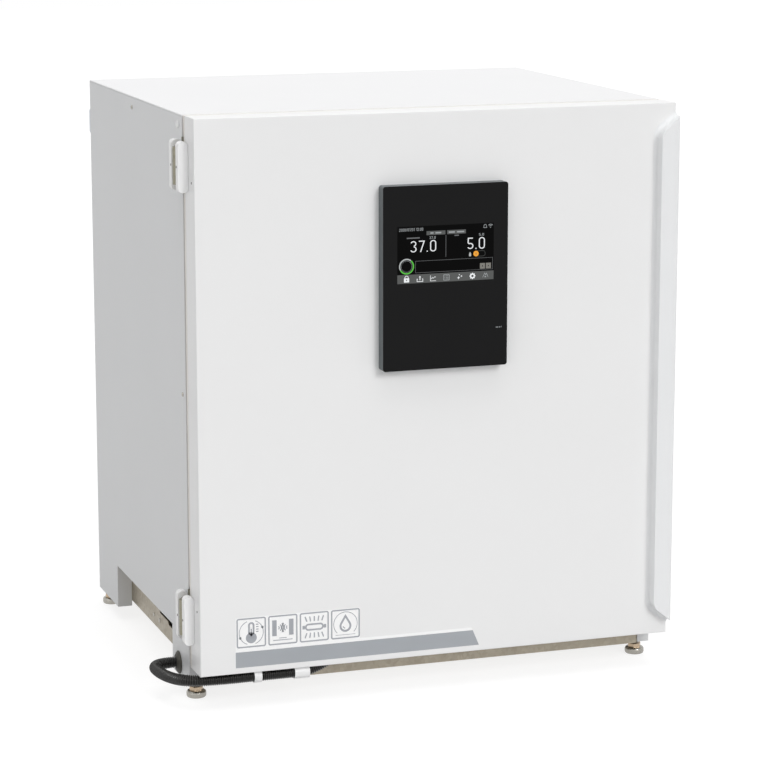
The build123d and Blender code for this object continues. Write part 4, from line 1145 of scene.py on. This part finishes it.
softIcons = {
    0.508: [softFrame(-4.9, 4.9, -4.6, 4.6, 0.9, 0.8)] + listLines,
    0.914: [
        ribbon([(-4.2, -2.8), (-0.9, 3.6), (0.6, 0.8), (2.0, 3.2), (4.4, -2.8)], 0.8),
        bar(-1.2, 1.2, -3.0, -1.0),
    ],
}
show("screen_icons_soft", inIconRow(softIcons), "shownDim", 3)
bell = [
    ribbon([(-2.2, -2.0), (-2.2, 0.6)] + arcPoints(0, 0.6, 2.0, 180, 0, 10) + [(2.2, -2.0)], 0.7),
    bar(-2.8, 2.8, -2.6, -1.9),
]
waves = [ribbon(arcPoints(0, -2.2, radius, 45, 135, 10), 0.9) for radius in (2.6, 4.8)]
signal = [disc(0, -2.2, 0.7, 12)] + waves
topMarks = moved(bell, *onScreen(0.91, 0.055)) + moved(signal, *onScreen(0.965, 0.055))
show("screen_marks", topMarks, "shownDim", 2)
bottle = [softBar(-1.7, 1.7, -3.4, 1.2, 0.6), bar(-0.8, 0.8, 1.2, 2.9)]
show("screen_bottle", moved(bottle, *onScreen(0.753, 0.535)), "shownSoft", 2)
inkPiece(
    "panel_mark",
    [
        bar(81.5, 85.2, 573.4, 574.6),
        bar(86.4, 88.6, 573.4, 574.6),
        ribbon([(90.2, 573.2), (90.2, 575.6)], 0.6),
    ],
    panel["front"] - screen["level"], screen["level"], "shownDim", "outer_door", slotOf("panel_glass"),
)
print("display lit")


# Printed film on the door: four plain pictograms over a grey stripe
film = {
    "left": -329.5,
    "right": -130.9,
    "bottom": 95.6,
    "top": 144.8,
    "front": -67.15,
    "thick": 0.15,
    "inkThick": 0.12,
    "step": 0.08,
    "stripeBottom": 66.5,
    "stripeTop": 91.1,
    "slant": (65.1, 54.7, 52.6),  # right end at the stripe's foot, its top and the film's foot
    "square": 46.6,
    "squareLow": 97.4,
    "squareLefts": (-328.0, -277.9, -227.6, -177.5),
    "squareCorner": 3.4,
    "squareLine": 2.2,
    "slot": slotOf("door_skin"),
}
left = film["left"]
endLow, endHigh, endJoin = film["slant"]
low, high, join = film["stripeBottom"], film["stripeTop"], film["bottom"]
for name, outline, finish in (
    ("film_white", bar(left, film["right"], film["bottom"], film["top"]), "decalWhite"),
    ("film_stripe", [(left, low), (endLow, low), (endHigh, high), (left, high)], "stripeGrey"),
    (
        "film_stripe_edge",
        [(left, high), (endHigh, high), (endJoin, join), (left, join)],
        "decalWhite",
    ),
):
    inkPiece(name, [outline], film["front"], film["thick"], finish, "outer_door", film["slot"])

# Each pictogram is drawn round 0, 0
thermometer = [
    ribbon(arcPoints(0, 0, 19, 110, 250, 24), 1.1),
    ribbon(arcPoints(0, 0, 19, -70, 70, 24), 1.1),
    [softBar(-5.0, 5.0, -4, 16.5, 4.9), softBar(-2.2, 2.2, -3, 13.7, 2.1)],
    disc(0, -8.2, 8.6),
    bar(-1.1, 1.1, -6, 6),
    disc(17.6, 7.4, 2.1, 16),
    disc(-17.6, -7.4, 2.1, 16),
]
for k in range(4):
    thermometer.append(bar(7.4, 11.4, 0.2 + 3.8 * k, 1.8 + 3.8 * k))
sensors = [bar(-17, -9.8, -9, 16), bar(9.8, 17, -9, 16)]
for radius in (3.6, 7.2, 10.8):
    for side in (-1, 1):
        start = 90 - 90 * side
        sensors.append(ribbon(arcPoints(-side * 9.5, 3.5, radius, start - 42, start + 42, 10), 1.7))
sensors += [bar(-15.5, 15.5, -16.6, -15.2), bar(-6, 6, -13.4, -12.2)]
lampWithRays = [
    softFrame(-15, 15, -5.6, 5.6, 5.5, 2.6),
    bar(-19, -15, -2.8, 2.8),
    bar(15, 19, -2.8, 2.8),
]
for k in range(-2, 3):
    for side in (-1, 1):
        lampWithRays.append(ribbon([(6 * k, 9 * side), (7.4 * k, 17 * side)], 2.0))
waterDrop = [
    [
        [(0, 15.5)] + arcPoints(0, -3.2, 9.6, 30, -210, 26),
        [(0, 9.6)] + arcPoints(0, -3.2, 6.4, 28, -208, 26),
    ],
    ribbon(arcPoints(0, 0, 19, -45, 225, 36), 1.1),
    ribbon(arcPoints(0, -3.2, 3.7, 190, 262, 8), 1.6),
    bar(-16, 16, -17.6, -16.8),
]
half = film["square"] / 2
square = softFrame(-half, half, -half, half, film["squareCorner"], film["squareLine"])
ink = []
for left, drawing in zip(film["squareLefts"], (thermometer, sensors, lampWithRays, waterDrop)):
    ink += moved([square] + drawing, left + half, film["squareLow"] + half)
inkPiece(
    "film_pictograms",
    ink,
    film["front"] - film["step"], film["inkThick"], "decalInk", "outer_door", film["slot"],
)
print("film printed")


# Camera at the photograph's angle
camera = {"place": (-1441, -4056, 1331), "lens": 132.5, "tilt": 90 - 11.26, "turn": -18.69}
eye = bpy.data.cameras.new("camera")
eye.lens = camera["lens"]
eye.sensor_width = 36
eye.clip_end = 100
eyeHolder = bpy.data.objects.new("camera", eye)
bpy.context.scene.collection.objects.link(eyeHolder)
eyeHolder.location = spot(*camera["place"])
eyeHolder.rotation_euler = (math.radians(camera["tilt"]), 0, math.radians(camera["turn"]))
bpy.context.scene.camera = eyeHolder
bpy.context.scene.view_settings.view_transform = "Standard"

# Light: a soft lamp from the upper right, a broad one overhead and an even room
light = {
    "lamps": (
        ("softbox", (0.25, -0.85, 0.46), 1.17, 24),
        ("overhead", (0, 0, 1), 1.36, 60),
        ("fill", (-0.75, -0.5, 0.43), 0.3, 60),
    ),
    "room": 0.37,
    "white": 1.0,
}
for name, towards, strength, softness in light["lamps"]:
    lamp = bpy.data.lights.new(name, "SUN")
    lamp.energy = strength
    lamp.angle = math.radians(softness)
    lampHolder = bpy.data.objects.new(name, lamp)
    bpy.context.scene.collection.objects.link(lampHolder)
    lampHolder.rotation_euler = Vector(towards).to_track_quat("Z", "Y").to_euler()


def seenDirectly(nodes, links):  # 1 for rays from the camera, a mirror or glass, else 0
    path = nodes.new("ShaderNodeLightPath")
    first = nodes.new("ShaderNodeMath")
    first.operation = "MAXIMUM"
    second = nodes.new("ShaderNodeMath")
    second.operation = "MAXIMUM"
    links.new(path.outputs["Is Camera Ray"], first.inputs[0])
    links.new(path.outputs["Is Glossy Ray"], first.inputs[1])
    links.new(first.outputs[0], second.inputs[0])
    links.new(path.outputs["Is Transmission Ray"], second.inputs[1])
    return second.outputs[0]


room = bpy.data.worlds.new("room")
room.use_nodes = True
bpy.context.scene.world = room
nodes = room.node_tree.nodes
links = room.node_tree.links
surround = nodes["Background"]
brightness = nodes.new("ShaderNodeMix")
brightness.inputs["A"].default_value = light["room"]
brightness.inputs["B"].default_value = light["white"]
links.new(seenDirectly(nodes, links), brightness.inputs["Factor"])
links.new(brightness.outputs["Result"], surround.inputs["Strength"])
surround.inputs["Color"].default_value = (1.0, 1.0, 1.0, 1.0)

ground = {"half": 16, "albedo": 0.6, "shadowShare": 0.3, "glow": 0.8}
groundFinish = bpy.data.materials.new("studio_floor")
groundFinish.use_nodes = True
nodes = groundFinish.node_tree.nodes
links = groundFinish.node_tree.links
nodes.remove(nodes["Principled BSDF"])
real = nodes.new("ShaderNodeBsdfDiffuse")
real.inputs["Color"].default_value = (ground["albedo"],) * 3 + (1.0,)
shadowed = nodes.new("ShaderNodeBsdfDiffuse")
shadowed.inputs["Color"].default_value = (ground["shadowShare"],) * 3 + (1.0,)
glow = nodes.new("ShaderNodeEmission")
glow.inputs["Strength"].default_value = ground["glow"]
seen = nodes.new("ShaderNodeAddShader")
links.new(shadowed.outputs["BSDF"], seen.inputs[0])
links.new(glow.outputs["Emission"], seen.inputs[1])
choice = nodes.new("ShaderNodeMixShader")
links.new(seenDirectly(nodes, links), choice.inputs["Fac"])
links.new(real.outputs["BSDF"], choice.inputs[1])
links.new(seen.outputs["Shader"], choice.inputs[2])
links.new(choice.outputs["Shader"], nodes["Material Output"].inputs["Surface"])
work = bmesh.new()
reach = ground["half"]
corners = ((-reach, -reach), (reach, -reach), (reach, reach), (-reach, reach))
work.faces.new([work.verts.new((x, y, 0)) for x, y in corners])
groundMesh = bpy.data.meshes.new("studio_floor")
work.to_mesh(groundMesh)
work.free()
groundMesh.materials.append(groundFinish)
groundPiece = bpy.data.objects.new("studio_floor", groundMesh)
bpy.context.scene.collection.objects.link(groundPiece)
print("studio lit")
